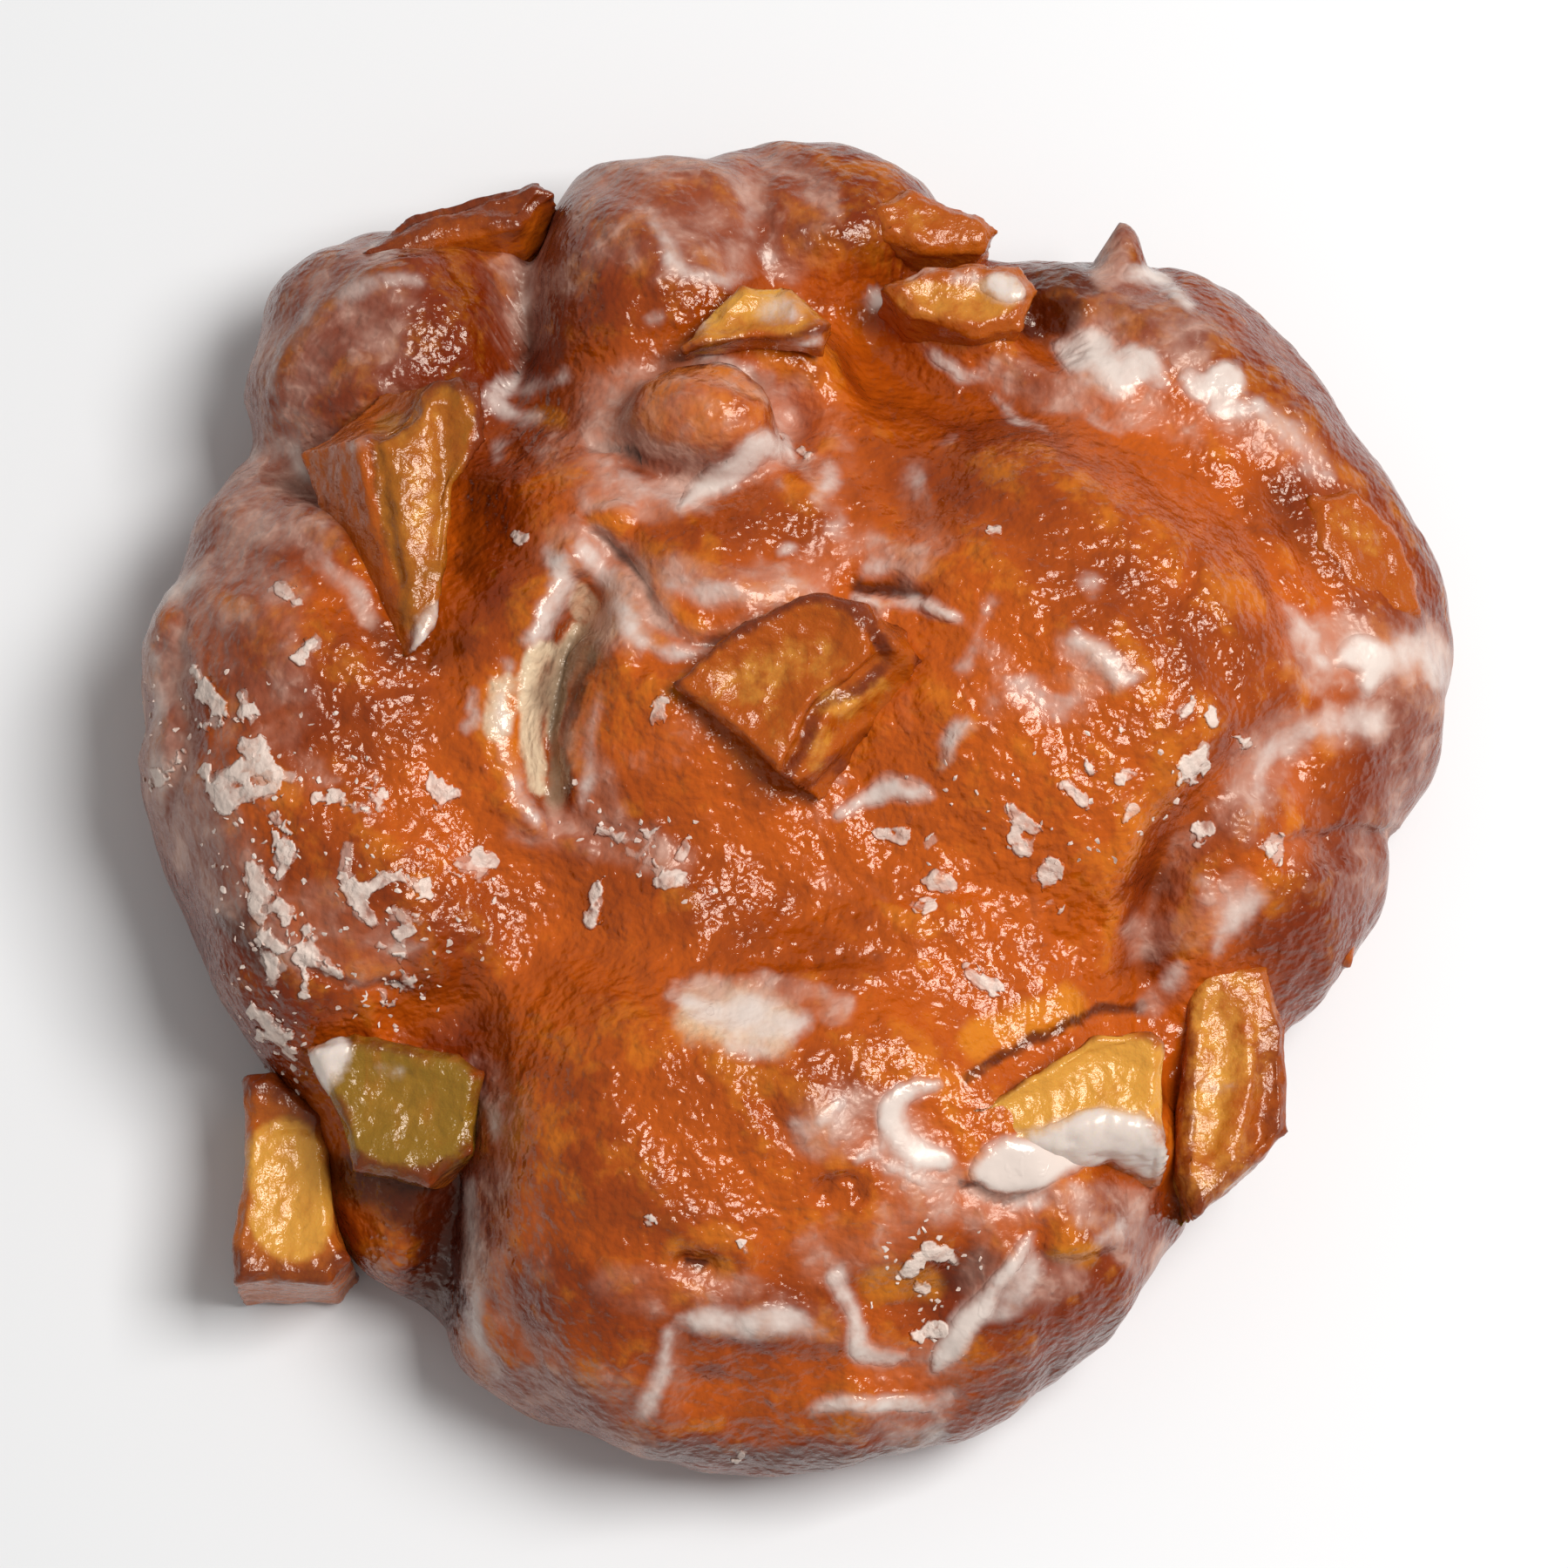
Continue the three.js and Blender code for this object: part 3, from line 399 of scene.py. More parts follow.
    ("hook", ((14.4, -27.6, 0.5), (12.4, -28, 0.9), (10.4, -28.8, 1.2), (9.8, -30.6, 1.3),
        (10.4, -32.4, 1.4), (12, -33.8, 1.3), (14.2, -34.4, 1.1), (15.2, -34.8, 0.6)), 0.7, 0.92),
    ("hook low", ((10, -35, 0.7), (12, -36, 0.7), (13.4, -36.8, 0.4)), 0.4, 0.7),
    ("hook left", ((7, -34.4, 0.5), (8.6, -33.4, 1)), 0.4, 0.6),
    # Painted highlight: the gloss on the front pool, as white icing.
    ("front gloss", ((5, -29.4, 0.7), (4.2, -30.4, 1.1), (3.4, -31.2, 0.9)), 0.35, 0.75),
    ("front gloss left", ((1, -31.4, 0.7), (2.2, -32, 0.7)), 0.25, 0.5),
    ("front drip", ((-9.6, -49.4, 0.6), (-7, -49.2, 1.3), (-4, -49.6, 1.6), (-1, -49.4, 1.6),
        (1.5, -49.8, 1.3), (3.4, -50.4, 0.6)), 0.5, 0.62),
    ("front drip left", ((-10.8, -50.6, 0.7), (-11, -52.6, 0.8), (-11.6, -55, 0.8),
        (-12.6, -57, 0.9), (-13.4, -58.4, 0.6)), 0.35, 0.5),
    ("front drip middle", ((4.8, -45.2, 0.7), (5.4, -46.6, 0.8), (6.4, -48.4, 0.7), (6.8, -50, 0.8),
        (7, -52, 1.1), (8.8, -52.8, 1), (10.4, -52.6, 0.6)), 0.45, 0.78),
    ("front drip right", ((22.6, -41.4, 0.4), (21.6, -43, 0.7), (20.4, -45, 0.8), (18.8, -47, 1.1),
        (17.2, -49, 1.2), (15.8, -51, 1.3), (14.6, -52.6, 1.1), (14, -53.6, 0.7)), 0.6, 0.92),
    ("front drip veil", ((23, -44, 1.1), (21.6, -46.6, 1.3), (19.6, -48.6, 1)), 0.25, 0.4),
    ("front shelf", ((2.8, -57.4, 0.4), (4.2, -57, 0.9), (7, -57, 0.9), (10, -57, 0.8),
        (12.5, -57, 0.8), (15, -56.6, 0.7)), 0.45, 0.8),
    ("front skirt", ((10.4, -59.6, 1.5), (13.6, -59.6, 1.5), (11, -61.6, 0.9)), 0.2, 0.25),
    ("seam strip", ((-28.8, -25.6, 0.4), (-28.6, -27, 0.6), (-27.8, -29, 0.5), (-26.8, -30.6, 0.6),
        (-26.4, -32.4, 0.6)), 0.4, 0.55),
    ("seam strip low", ((-28.8, -37, 0.8), (-28.6, -39, 1), (-28.2, -42, 1.1), (-28.4, -46, 1.2),
        (-28.4, -50, 1.3), (-26.6, -54, 1.1)), 0.25, 0.45),
    ("under apple", ((20.6, -39, 0.5), (22.4, -38.6, 0.6), (24, -38.4, 0.4)), 0.3, 0.6),
    ("under apple right", ((29, -41.8, 0.5), (30.2, -41, 0.7), (31.8, -39.6, 0.6)), 0.3, 0.5),
)
# Icing on the pieces of apple, in the same way.
APPLE_ICING = (
    ("apple_right_low", ((19.6, -35, 2.6), (22, -35, 3), (25, -34, 2.8), (28, -32.6, 2.7),
        (30, -32.2, 2.4), (32, -32.8, 2.6), (33.4, -34, 2)), 1.1, 1),
    ("apple_left_upper", ((-34, 12.6, 0.5), (-33, 14, 1.2), (-31.8, 15.6, 1),
        (-30.6, 17, 0.5)), 0.5, 0.7),
    ("apple_left_upper", ((-38.4, 31.2, 0.4), (-39.6, 31, 0.7), (-41, 30.6, 0.4)), 0.2, 0.45),
    ("apple_top", ((-1.8, 43.4, 0.9), (-0.4, 43.7, 1.3), (0.9, 43.3, 0.8)), 0.2, 0.55),
    ("apple_top", ((-7.6, 42.6, 0.8), (-8.6, 41.6, 0.5)), 0.2, 0.5),
    ("apple_top", ((-0.6, 39.9, 0.5), (1.4, 40.2, 0.6), (3, 40.6, 0.5)), 0.2, 0.6),
    ("apple_left_low", ((-44.6, -27.6, 0.9), (-43, -27, 1.7), (-41.8, -25.4, 1.6), (-41, -24, 1),
        (-43, -29, 1)), 0.6, 0.95),
    ("apple_left_low", ((-37, -26, 0.3), (-36, -26.4, 0.6), (-35.2, -26.6, 0.5)), 0.25, 0.5),
    ("apple_right_side", ((58.6, 18.6, 0.6), (59.4, 18, 0.6)), 0.3, 0.6),
    ("apple_upper_right", ((18.8, 45.6, 0.9), (20.2, 45.7, 1.5), (21, 45.2, 1.2)), 0.7, 0.85),
    ("apple_upper_right", ((15.6, 46.3, 0.4), (17.4, 46.4, 0.5)), 0.3, 0.6),
    ("apple_upper_right", ((11.8, 46.8, 0.4), (13.6, 47.4, 0.6)), 0.3, 0.6),
    ("apple_centre", ((-2.6, 1.6, 0.5), (-1.4, 0.9, 0.5)), 0.2, 0.4),
    ("apple_right_corner", ((39, -28, 0.8), (41, -27.6, 0.6)), 0.15, 0.35),
)
# Dry, cracked glaze, in the same way, with one painted highlight on the dome.
FLAKES = (
    ("shoulder", ((-52.8, 0.9, 0.4), (-50.8, 0.8, 0.7), (-49, 1.2, 1), (-47.8, 1.4, 1),
        (-46.4, 0.9, 0.8), (-45, 0.8, 0.5)), 0.25, 0.85),
    ("shoulder left", ((-52.2, -0.6, 0.5), (-51.4, -1.8, 0.8), (-50, -1.1, 0.9), (-48.4, -0.8, 0.9),
        (-46.8, -0.4, 0.7)), 0.25, 0.85),
    ("shoulder low", ((-47.8, -2, 0.4), (-46.8, -3.2, 0.7), (-46.4, -4, 0.4)), 0.2, 0.75),
    ("upright", ((-45.8, -5, 0.5), (-45.8, -6.2, 0.9), (-45.7, -7.4, 0.8),
        (-46.2, -8.5, 0.5)), 0.4, 0.95),
    ("upright left", ((-49, -7.4, 0.4), (-48.4, -8.6, 1), (-47.8, -10, 1.1),
        (-48.2, -11, 0.8)), 0.3, 0.8),
    ("knuckle", ((-48.2, -12, 0.6), (-47, -11.6, 0.9), (-46, -11.8, 0.9),
        (-45.8, -12.8, 0.6)), 0.4, 0.9),
    ("knuckle low", ((-47.8, -13.8, 0.6), (-47.2, -14.6, 0.6), (-46.2, -15.2, 0.5)), 0.3, 0.85),
    ("knuckle foot", ((-47.6, -15.6, 0.7), (-46.6, -16.4, 0.8), (-47, -18.4, 0.5)), 0.3, 0.85),
    ("chip", ((-43.8, -13.6, 0.4), (-43.6, -14.8, 0.7), (-43, -16, 0.9),
        (-44.6, -15.8, 0.5)), 0.5, 0.95),
    ("chip low", ((-42.2, -16.8, 0.5), (-41.2, -17.3, 0.5)), 0.3, 0.8),
    ("chip far", ((-44, -18, 0.4), (-44.2, -18.8, 0.4)), 0.3, 0.8),
    ("plate", ((-40, -5.8, 0.3), (-40.2, -7.6, 0.5), (-40.4, -8.8, 0.6), (-39.4, -10.4, 0.7),
        (-38.4, -12, 0.8), (-37.8, -13, 0.4)), 0.22, 0.6),
    ("plate middle", ((-38.4, -9.8, 0.6), (-36.6, -8.7, 0.6), (-35.2, -8.6, 0.4)), 0.22, 0.5),
    ("plate high", ((-34.2, -9.2, 0.4), (-33.4, -9.7, 0.7), (-32.6, -9.2, 0.4)), 0.22, 0.7),
    ("plate right", ((-36, -11.6, 0.6), (-34.6, -12.6, 0.7), (-33.6, -12.6, 0.4),
        (-35.4, -14, 0.5)), 0.22, 0.5),
    ("plate foot", ((-37.2, -14.8, 0.4), (-35.6, -15.2, 0.5), (-35, -16.6, 0.35),
        (-34.4, -18.2, 0.3)), 0.25, 0.75),
    ("edge", ((-40.4, -18.4, 0.25), (-37.6, -18.9, 0.25), (-34.2, -18.4, 0.3)), 0.3, 0.7),
    ("edge drop", ((-36.6, -19.2, 0.3), (-36.6, -20.2, 0.35)), 0.25, 0.7),
    ("left thread", ((-54.2, 10.4, 0.3), (-53, 8.6, 0.5), (-52, 7.2, 0.5), (-52.4, 5.7, 0.5),
        (-53.4, 5.2, 0.3)), 0.4, 0.85),
    ("left chip", ((-49.8, 8.4, 0.4), (-49.4, 6.8, 0.6), (-48.6, 6.2, 0.5)), 0.3, 0.75),
    ("left chip low", ((-49.8, 3.6, 0.5), (-48.6, 3, 0.8), (-47.8, 4.2, 0.4)), 0.25, 0.6),
    ("left rim", ((-55.6, 3, 0.3), (-56.2, 1.4, 0.5), (-57.4, 0.4, 0.6)), 0.3, 0.7),
    ("left spots", ((-45.6, 17.6, 0.8), (-46.6, 17.9, 0.4), (-45, 16.6, 0.5)), 0.25, 0.55),
    ("left spots low", ((-44.2, 12.2, 0.8), (-43.4, 13, 0.6)), 0.35, 0.75),
    ("dash", ((-42.8, -1.4, 0.4), (-41.2, -1.5, 0.6), (-39.2, -2.5, 0.35)), 0.25, 0.65),
    ("hoop", ((-37.6, 0.4, 0.3), (-37.8, -1, 0.35), (-38, -2.4, 0.4), (-37, -2.3, 0.5),
        (-36.8, -0.8, 0.35)), 0.25, 0.7),
    ("spots", ((-32.2, 1, 0.3), (-32, -0.2, 0.5), (-31.6, -1.6, 0.4),
        (-31.4, -2.6, 0.25)), 0.2, 0.5),
    ("spots right", ((-30.8, -1.2, 0.5), (-30, -0.8, 0.4)), 0.2, 0.45),
    ("haze", ((-29.8, -7.4, 0.7), (-28.6, -7.6, 0.9), (-27.2, -6.8, 0.6),
        (-28.2, -8.9, 0.6)), 0.15, 0.5),
    ("left corner", ((-48.4, -21.2, 0.5), (-47.2, -22.2, 0.9), (-46.2, -23.2, 0.6),
        (-45.2, -24.8, 0.3)), 0.45, 0.9),
    ("far chip", ((-17.9, -12.4, 0.7), (-17.4, -11, 0.4), (-16.8, -9, 0.35)), 0.4, 0.75),
    ("crevice chips", ((-16.6, -4.2, 0.3), (-14.8, -5.2, 0.4), (-13, -4.8, 0.35),
        (-11.2, -4.5, 0.3)), 0.3, 0.65),
    ("crevice chips low", ((-14.6, -6.2, 0.4), (-13, -6.2, 0.35)), 0.25, 0.6),
    ("crevice chips mid", ((-12.2, -6.8, 0.35), (-11.6, -7.6, 0.5)), 0.3, 0.75),
    ("crevice chips right", ((-9, -5.2, 0.4), (-9.6, -6.6, 0.5)), 0.25, 0.55),
    ("crevice haze", ((-11.4, -8.9, 0.6), (-8.8, -9, 0.6)), 0.15, 0.4),
    ("middle spots", ((-11.2, 7.4, 0.5), (-11.4, 6, 0.6)), 0.2, 0.45),
    ("near apple", ((1.8, 30.6, 0.4), (2.4, 30.2, 0.3)), 0.3, 0.7),
    ("dome flake", ((38.6, 3.2, 0.6), (38, 2.4, 0.9), (37.2, 1.4, 0.7),
        (36.8, 0.5, 0.5)), 0.25, 0.85),
    ("dome flakes high", ((36.6, 6.6, 0.5), (37.4, 7.4, 0.3)), 0.2, 0.6),
    ("dome flakes right", ((38.6, 6.9, 0.5), (39.6, 5.8, 0.5)), 0.2, 0.6),
    # Painted highlight: a white dash where light glints on the dome.
    ("dome dash", ((34.5, 14, 0.35), (34.2, 13, 0.3)), 0.25, 0.8),
    ("dome flake low", ((38.2, -4.8, 0.7), (39.2, -4.2, 0.6)), 0.25, 0.65),
    ("right flake", ((43.8, -5.5, 0.5), (45, -5.8, 0.9), (45.6, -5.4, 0.6),
        (45, -7, 0.4)), 0.45, 0.95),
    ("right dab", ((41.8, 3.8, 0.4), (42.6, 3.6, 0.4)), 0.25, 0.6),
    ("centre flakes", ((21.2, -2.2, 0.7), (21.6, -3.4, 0.7)), 0.2, 0.75),
    ("centre flakes right", ((22.8, -4.4, 0.5), (23.3, -4, 0.4)), 0.2, 0.7),
    ("centre flakes low", ((21.4, -5.2, 0.6), (22.2, -6, 0.7)), 0.2, 0.7),
    ("low flake", ((24.2, -8, 1), (23.4, -8.8, 0.6)), 0.2, 0.65),
    ("low flake foot", ((24.4, -10.8, 0.4), (25.2, -11.2, 0.4)), 0.2, 0.45),
    ("long flake", ((26, 0, 0.5), (27, -1, 0.7), (27.5, -1.7, 0.4)), 0.2, 0.6),
    ("small flake", ((28, 1.2, 0.5), (28.4, 1.1, 0.4)), 0.2, 0.65),
    ("small flake right", ((31.4, 0.8, 0.5), (31.9, 0.9, 0.4)), 0.2, 0.65),
    ("small flake low", ((31.9, -2.2, 0.4), (31.4, -3.4, 0.35)), 0.2, 0.45),
    ("middle flake", ((12.4, -11.2, 0.6), (13.4, -11, 0.5)), 0.2, 0.5),
    ("middle flake high", ((14, -8.6, 0.8), (15, -9.4, 0.6)), 0.15, 0.4),
    ("middle flake low", ((16.8, -17.4, 0.5), (18, -18.1, 0.8), (19, -18.8, 0.6)), 0.25, 0.75),
    ("small high", ((11, -4.8, 0.5), (11.5, -4.6, 0.4)), 0.2, 0.6),
    ("small high left", ((8.8, -4.4, 0.5), (9.4, -4.6, 0.4)), 0.2, 0.5),
    ("small high right", ((13, -5.5, 0.4), (13.5, -5.2, 0.4)), 0.2, 0.6),
    ("front chips", ((11, -44.8, 0.6), (11.8, -44.3, 0.7), (12.2, -43.6, 0.4)), 0.4, 0.9),
    ("front chips right", ((13.4, -42.8, 0.5), (14.8, -43, 0.6), (15.6, -43.8, 0.4)), 0.3, 0.75),
    ("front chips mid", ((12.4, -45.8, 0.5), (13, -46.3, 0.5)), 0.35, 0.9),
    ("front chips low", ((12.2, -50.5, 0.5), (13.6, -50.2, 0.8), (14.6, -50.6, 0.4)), 0.45, 0.95),
    ("right speck", ((19.1, 23.5, 0.3), (19.8, 23.2, 0.25)), 0.2, 0.7),
    ("fold specks", ((-24.2, 22.8, 0.35), (-24, 22.4, 0.3)), 0.2, 0.5),
    ("front bits", ((-12.8, -40.6, 0.35), (-12.2, -40.4, 0.3)), 0.25, 0.8),
    ("front bits right", ((-3.8, -42.4, 0.25), (-3, -42.7, 0.3)), 0.2, 0.7),
    ("side bit", ((-4.2, -61.6, 0.3), (-4, -61.5, 0.3)), 0.2, 0.7),
)

# Where crumbs of glaze lie, in the same way as what is painted.
CRUMBS = (
    ("left shoulder", ((-54, 4), (-48, 2), (-42, 1)), 5, 0.5),
    ("left low", ((-47, -6), (-46, -12), (-44, -18)), 4.5, 1),
    ("left plates", ((-40, -8), (-35, -11), (-36, -17)), 5, 0.8),
    ("left edge", ((-57, 12), (-57, 2)), 3, 0.3),
    ("crevice foot", ((-17, -4), (-12, -6), (-9, -8)), 3, 0.6),
    ("right middle", ((18, -3), (24, -5), (32, 0)), 5, 0.25),
    ("front chips", ((11, -45), (15, -43.5), (13, -50)), 3, 0.7),
    ("front left", ((-46, -22), (-45, -26)), 2, 0.8),
)

# How each piece of apple has cooked: how caramelised its flesh is, and how green-brown.
APPLES = {
    "apple_left_upper": (0.85, 0.5),
    "apple_centre": (1.0, 0.0),
    "apple_top": (0.45, 0.2),
    "apple_right_low": (0.0, 0.0),
    "apple_right_corner": (0.6, 0.0),
    "apple_left_low": (0.5, 0.95),
    "apple_left_outer": (0.1, 0.0),
    "apple_upper_right": (0.35, 0.0),
    "apple_top_right": (0.75, 0.0),
    "apple_right_chip": (1.0, 0.0),
    "apple_right_side": (1.0, 0.1),
    "apple_top_left": (1.0, 0.0),
}
# Where the flesh of the apple shows, without its browned skin, seen in the same way.
FLESH = (
    ("left upper", ((-31, 35), (-32, 31), (-32.6, 26), (-32.4, 20), (-32.4, 16)), 3, 1),
    ("left upper left", ((-35.6, 32), (-35.2, 27), (-34, 20)), 2.2, 1),
    ("centre", ((-8, 9.6), (-3, 11), (3, 13), (2, 7), (-1, 3)), 4, 1),
    ("centre shelf", ((10.5, 12), (8.6, 8), (5.6, 4.8), (2.4, 1)), 2.4, 1),
    ("top", ((-7, 41.6), (-3, 44), (2, 43)), 2.4, 1),
    ("right low", ((17.4, -31), (22, -29), (27, -26.8), (32, -24.6)), 4, 1),
    ("right low end", ((27, -29), (32.6, -28)), 3, 1),
    ("right corner", ((38, -20), (41, -22), (40, -26), (38, -31), (39, -36)), 4.6, 0.9),
    ("left low", ((-39, -26.4), (-34, -28), (-30.6, -28), (-33, -32), (-38, -32)), 4.6, 1),
    ("left outer", ((-45.8, -34.4), (-45, -37.6), (-45.2, -40)), 3.8, 1),
    ("upper right", ((12, 44.6), (17, 44), (20, 45)), 2, 0.7),
    ("top right", ((9, 52.4), (13, 51.4)), 1.8, 0.8),
    ("right side", ((50, 26.4), (53, 23), (55, 20)), 2.6, 0.9),
)
# Where the apple has browned, seen in the same way, and painted shade at the foot of the left low
# piece.
BROWNED = (
    ("left upper right rim", ((-31, 37.6), (-28, 35.4), (-27.6, 32), (-28.8, 28), (-29.6, 22),
        (-30.4, 17)), 1, 1),
    ("left upper notch", ((-31.6, 37), (-34.6, 34), (-35.4, 32.4), (-38, 31.6)), 0.7, 0.8),
    ("left upper wall", ((-42, 29), (-41, 24), (-38, 17)), 1, 0.5),
    ("left upper step", ((-37.8, 30.6), (-37, 25), (-36, 19), (-34.4, 14)), 0.45, 0.6),
    ("left upper tooth", ((-26.4, 30.2), (-26.8, 28)), 0.7, 1),
    ("centre rim", ((-10.6, 9.8), (-7.4, 12.4), (-2, 15.2), (1.4, 17), (5.6, 16.8),
        (8, 14.6)), 1, 0.9),
    ("centre step rim", ((8.4, 14), (9.4, 11.4), (7, 9), (3.4, 7.2), (2, 3.6),
        (0, 0.6)), 0.8, 0.95),
    ("centre foot", ((-9, 7.6), (-5.4, 4.8), (-2.4, 2), (-0.6, 0.2)), 0.7, 0.8),
    ("centre shelf rim", ((10, 14.8), (12.6, 12.6), (11.4, 8), (7.6, 4.6), (2, -0.2)), 0.9, 0.8),
    ("centre spots", ((-4, 12), (-2, 9)), 0.8, 0.5),
    ("top rim", ((-9.4, 39.8), (-5, 40.6), (-1, 40.8), (3.8, 42)), 0.4, 0.7),
    ("right low rim", ((17, -30.4), (21.5, -26.6), (26, -23.6), (29.5, -21.4), (34, -21.4),
        (36.4, -23)), 0.9, 0.9),
    ("right low left", ((17, -34), (17.4, -31)), 0.8, 0.7),
    ("right corner rim", ((36.4, -19), (37, -26), (36.6, -33), (36.4, -39)), 1.2, 0.7),
    ("right corner side", ((45.6, -24), (44.8, -32), (40, -38.5)), 3, 0.7),
    ("left low rim", ((-41, -23.4), (-34, -24.4), (-28.6, -25), (-28.4, -30),
        (-29.6, -35)), 0.8, 0.6),
    # Painted shade at the foot of the piece, where it meets the dough.
    ("left low foot", ((-40.6, -34.6), (-35, -36), (-30, -35.6)), 1.4, 0.9),
    ("left outer top", ((-49, -27), (-46, -28.4), (-42, -30.6)), 2.2, 0.8),
    ("left outer foot", ((-51, -44), (-45, -45), (-40, -44)), 1.6, 0.8),
    ("left outer right", ((-40.8, -34), (-40, -40)), 1.4, 0.7),
    ("top left", ((-38, 50), (-32, 53), (-26, 54), (-22, 55)), 3.5, 1),
)
# Where the apple has stayed bright.
GILT = (
    ("left upper", ((-32.6, 34), (-33.4, 28), (-33, 22)), 1.6, 0.4),
    ("left upper walls", ((-40.6, 29), (-39.4, 24)), 1.2, 0.5),
    ("centre", ((-6, 9.2), (-1, 10.4), (3, 12)), 2, 0.6),
    ("centre low", ((-1, 6.4), (-0.6, 4)), 1, 0.5),
    ("centre shelf", ((4, 7.6), (6, 7.4), (8.6, 9.2)), 1, 1),
    ("centre shelf low", ((3.4, 4.4), (3, 2)), 0.9, 0.8),
    ("top", ((-6, 43.4), (-2, 44.6)), 1.4, 0.7),
    ("right low", ((19, -31), (24, -29), (29, -26)), 2.6, 0.8),
    ("right corner", ((39.4, -21), (40.6, -25), (39, -31)), 1.8, 0.5),
    ("left low", ((-37, -29), (-33, -30)), 2.4, 0.3),
    ("left outer", ((-45, -36), (-44.6, -40)), 2.6, 0.9),
    ("right side", ((51.4, 24.6), (53.6, 22)), 1.2, 0.5),
)
# Cuts and ridges in the apple, seen in the same way, as the dough's are given.
APPLE_MARKS = (
    ("left upper edge", ((-29.8, 36.4), (-28.6, 33), (-29.2, 28), (-30, 22)), 0.7, -0.7),
    ("left upper groove", ((-31.4, 34), (-31, 28), (-31.4, 21)), 0.8, 0.6),
    ("left upper step", ((-37.6, 30.6), (-36.8, 25), (-35.8, 19)), 0.8, 0.7),
    ("left upper notch", ((-35.2, 34.2), (-36.4, 33.4)), 1.4, 1.4),
    ("left upper tooth", ((-27.6, 31.4), (-27.2, 28.6)), 0.6, -0.8),
    ("centre step", ((8.6, 13.6), (9, 11.2), (6.6, 8.8), (3.2, 7), (1.8, 3.6), (0.4, 1)), 0.7, 1.1),
    ("centre rim", ((-8.4, 11.6), (-2, 15), (2, 16.6), (6, 16)), 0.8, -0.5),
    ("centre dip", ((-4, 9.6), (0, 11.6), (4, 13)), 1.8, 0.7),
    ("centre dip low", ((-2, 6), (0, 8)), 1.2, 0.5),
    ("centre shelf edge", ((10.6, 13.8), (11.2, 9), (7, 5), (2.4, 0.6)), 0.7, -0.5),
    ("top rim", ((-9, 40.2), (-4, 41), (0, 41.2), (3.4, 42)), 0.5, -0.5),
    ("top dip", ((-6, 43), (-1, 44.4)), 1.4, 0.6),
    ("right low dip", ((20, -30.4), (26, -28), (31, -25.6)), 2.2, 0.7),
    ("right low rim", ((18, -29.6), (22, -26.8), (27, -23.8), (32, -22.4)), 0.6, -0.4),
    ("right corner dip", ((40, -22), (39.6, -28), (38.6, -33)), 1.8, 0.7),
    ("right corner ridge", ((42.4, -22), (42.6, -28), (40.6, -34)), 0.8, -0.5),
    ("right corner groove", ((45, -26), (43.4, -33)), 1, 0.7),
    ("left low dip", ((-38, -28), (-33, -30)), 2.6, 0.6),
    ("left outer dip", ((-45.4, -35), (-45, -40)), 2.2, 0.7),
    ("left outer fold", ((-49, -30.6), (-45, -31.4), (-41.6, -32)), 0.8, 0.6),
    ("upper right dip", ((12, 44.8), (18, 44.6)), 1.2, 0.5),
    ("top left fold", ((-36, 52), (-29, 54), (-23, 53)), 1, 0.7),
)

# The mesh is thrown out from a flat round core inside the dough, along rays that lean out over the
# top, go round the side and end underneath.
CORE_RADIUS, CORE_HEIGHT, CORE_SHARE = 40.0, 9.0, 0.52
OVER_TOP, UNDERNEATH, FAR_OUT = 20.0, 150.0, 76.0
# How often a ray is drawn in until it meets the dough, and how often the last step is halved.
RAY_STEPS, RAY_HALVINGS = 70, 9
# Creases fade out between this height and this much above it.
CREASE_FOOT, CREASE_FADE = 6.0, 6.0
# The map of the creases: how far it reaches each way, and its step.
MAP_HALF, MAP_STEP = 68.0, 0.25
# Dough lower than this lies flat on the table, and the apple is kept above it.
FLAT_BELOW = 0.02
# The dough's fine relief: how high or deep, and over what size.
SWELL, CRINKLE, GRAIN, BLISTER, PIT = (0.14, 9), (0.12, 3.4), (0.14, 1.9), (0.16, 3.2), (0.2, 2.6)
# The apple's: how far its flesh has shrunk, and its bumps and its fibres in the same way.
SHRUNK, APPLE_BUMP, APPLE_GRAIN, FIBRES = 0.4, (0.3, 4), (0.2, 1.6), (0.1, 0.9)
# How sharply runs of icing meet, and how deep icing and flakes go into what they lie on.
RUN_TOGETHER, ICING_ROOT, FLAKE_ROOT = 4.0, 0.5, 0.3
# How wide the plates of cracked glaze are.
PLATE_WIDTH = 1.6
# How far a crumb's corners are moved at most, over what size, in metres, and the draw of crumbs.
CRUMB_SHIFT, CRUMB_CLOUD, CRUMB_SEED = 0.0003, 1 / 2600, 4
# The colour of glints off glaze and apple, and how smooth the icing's own gloss is.
WARM_GLINT, ICING_GLOSS = (1.0, 0.88, 0.76, 1.0), 0.16

# The camera: what it looks at, in millimetres, from how high and how far, and how much it takes in.
LOOK_AT, LOOK_DOWN, LOOK_FROM, LOOK_WIDTH = (-1.0, 0.0, 20.0), 78.0, 600.0, 144.0
LENS_WIDTH = 36.0
# The window: where it is and what it lights, in metres, its width and its power. The rest of the
# light comes evenly from all round.
WINDOW_AT, WINDOW_AIM, WINDOW_WIDTH, WINDOW_POWER = (0.36, 0.06, 0.72), (0, 0, 0.01), 0.36, 6.5
ALL_ROUND = 0.33
FLOOR_HALF = 3000.0


def smooth_step(value, low, high):
    """0 below `low` and 1 above `high`, softly between."""
    share = np.clip((value - low) / (high - low), 0, 1)
    return share * share * (3 - 2 * share)


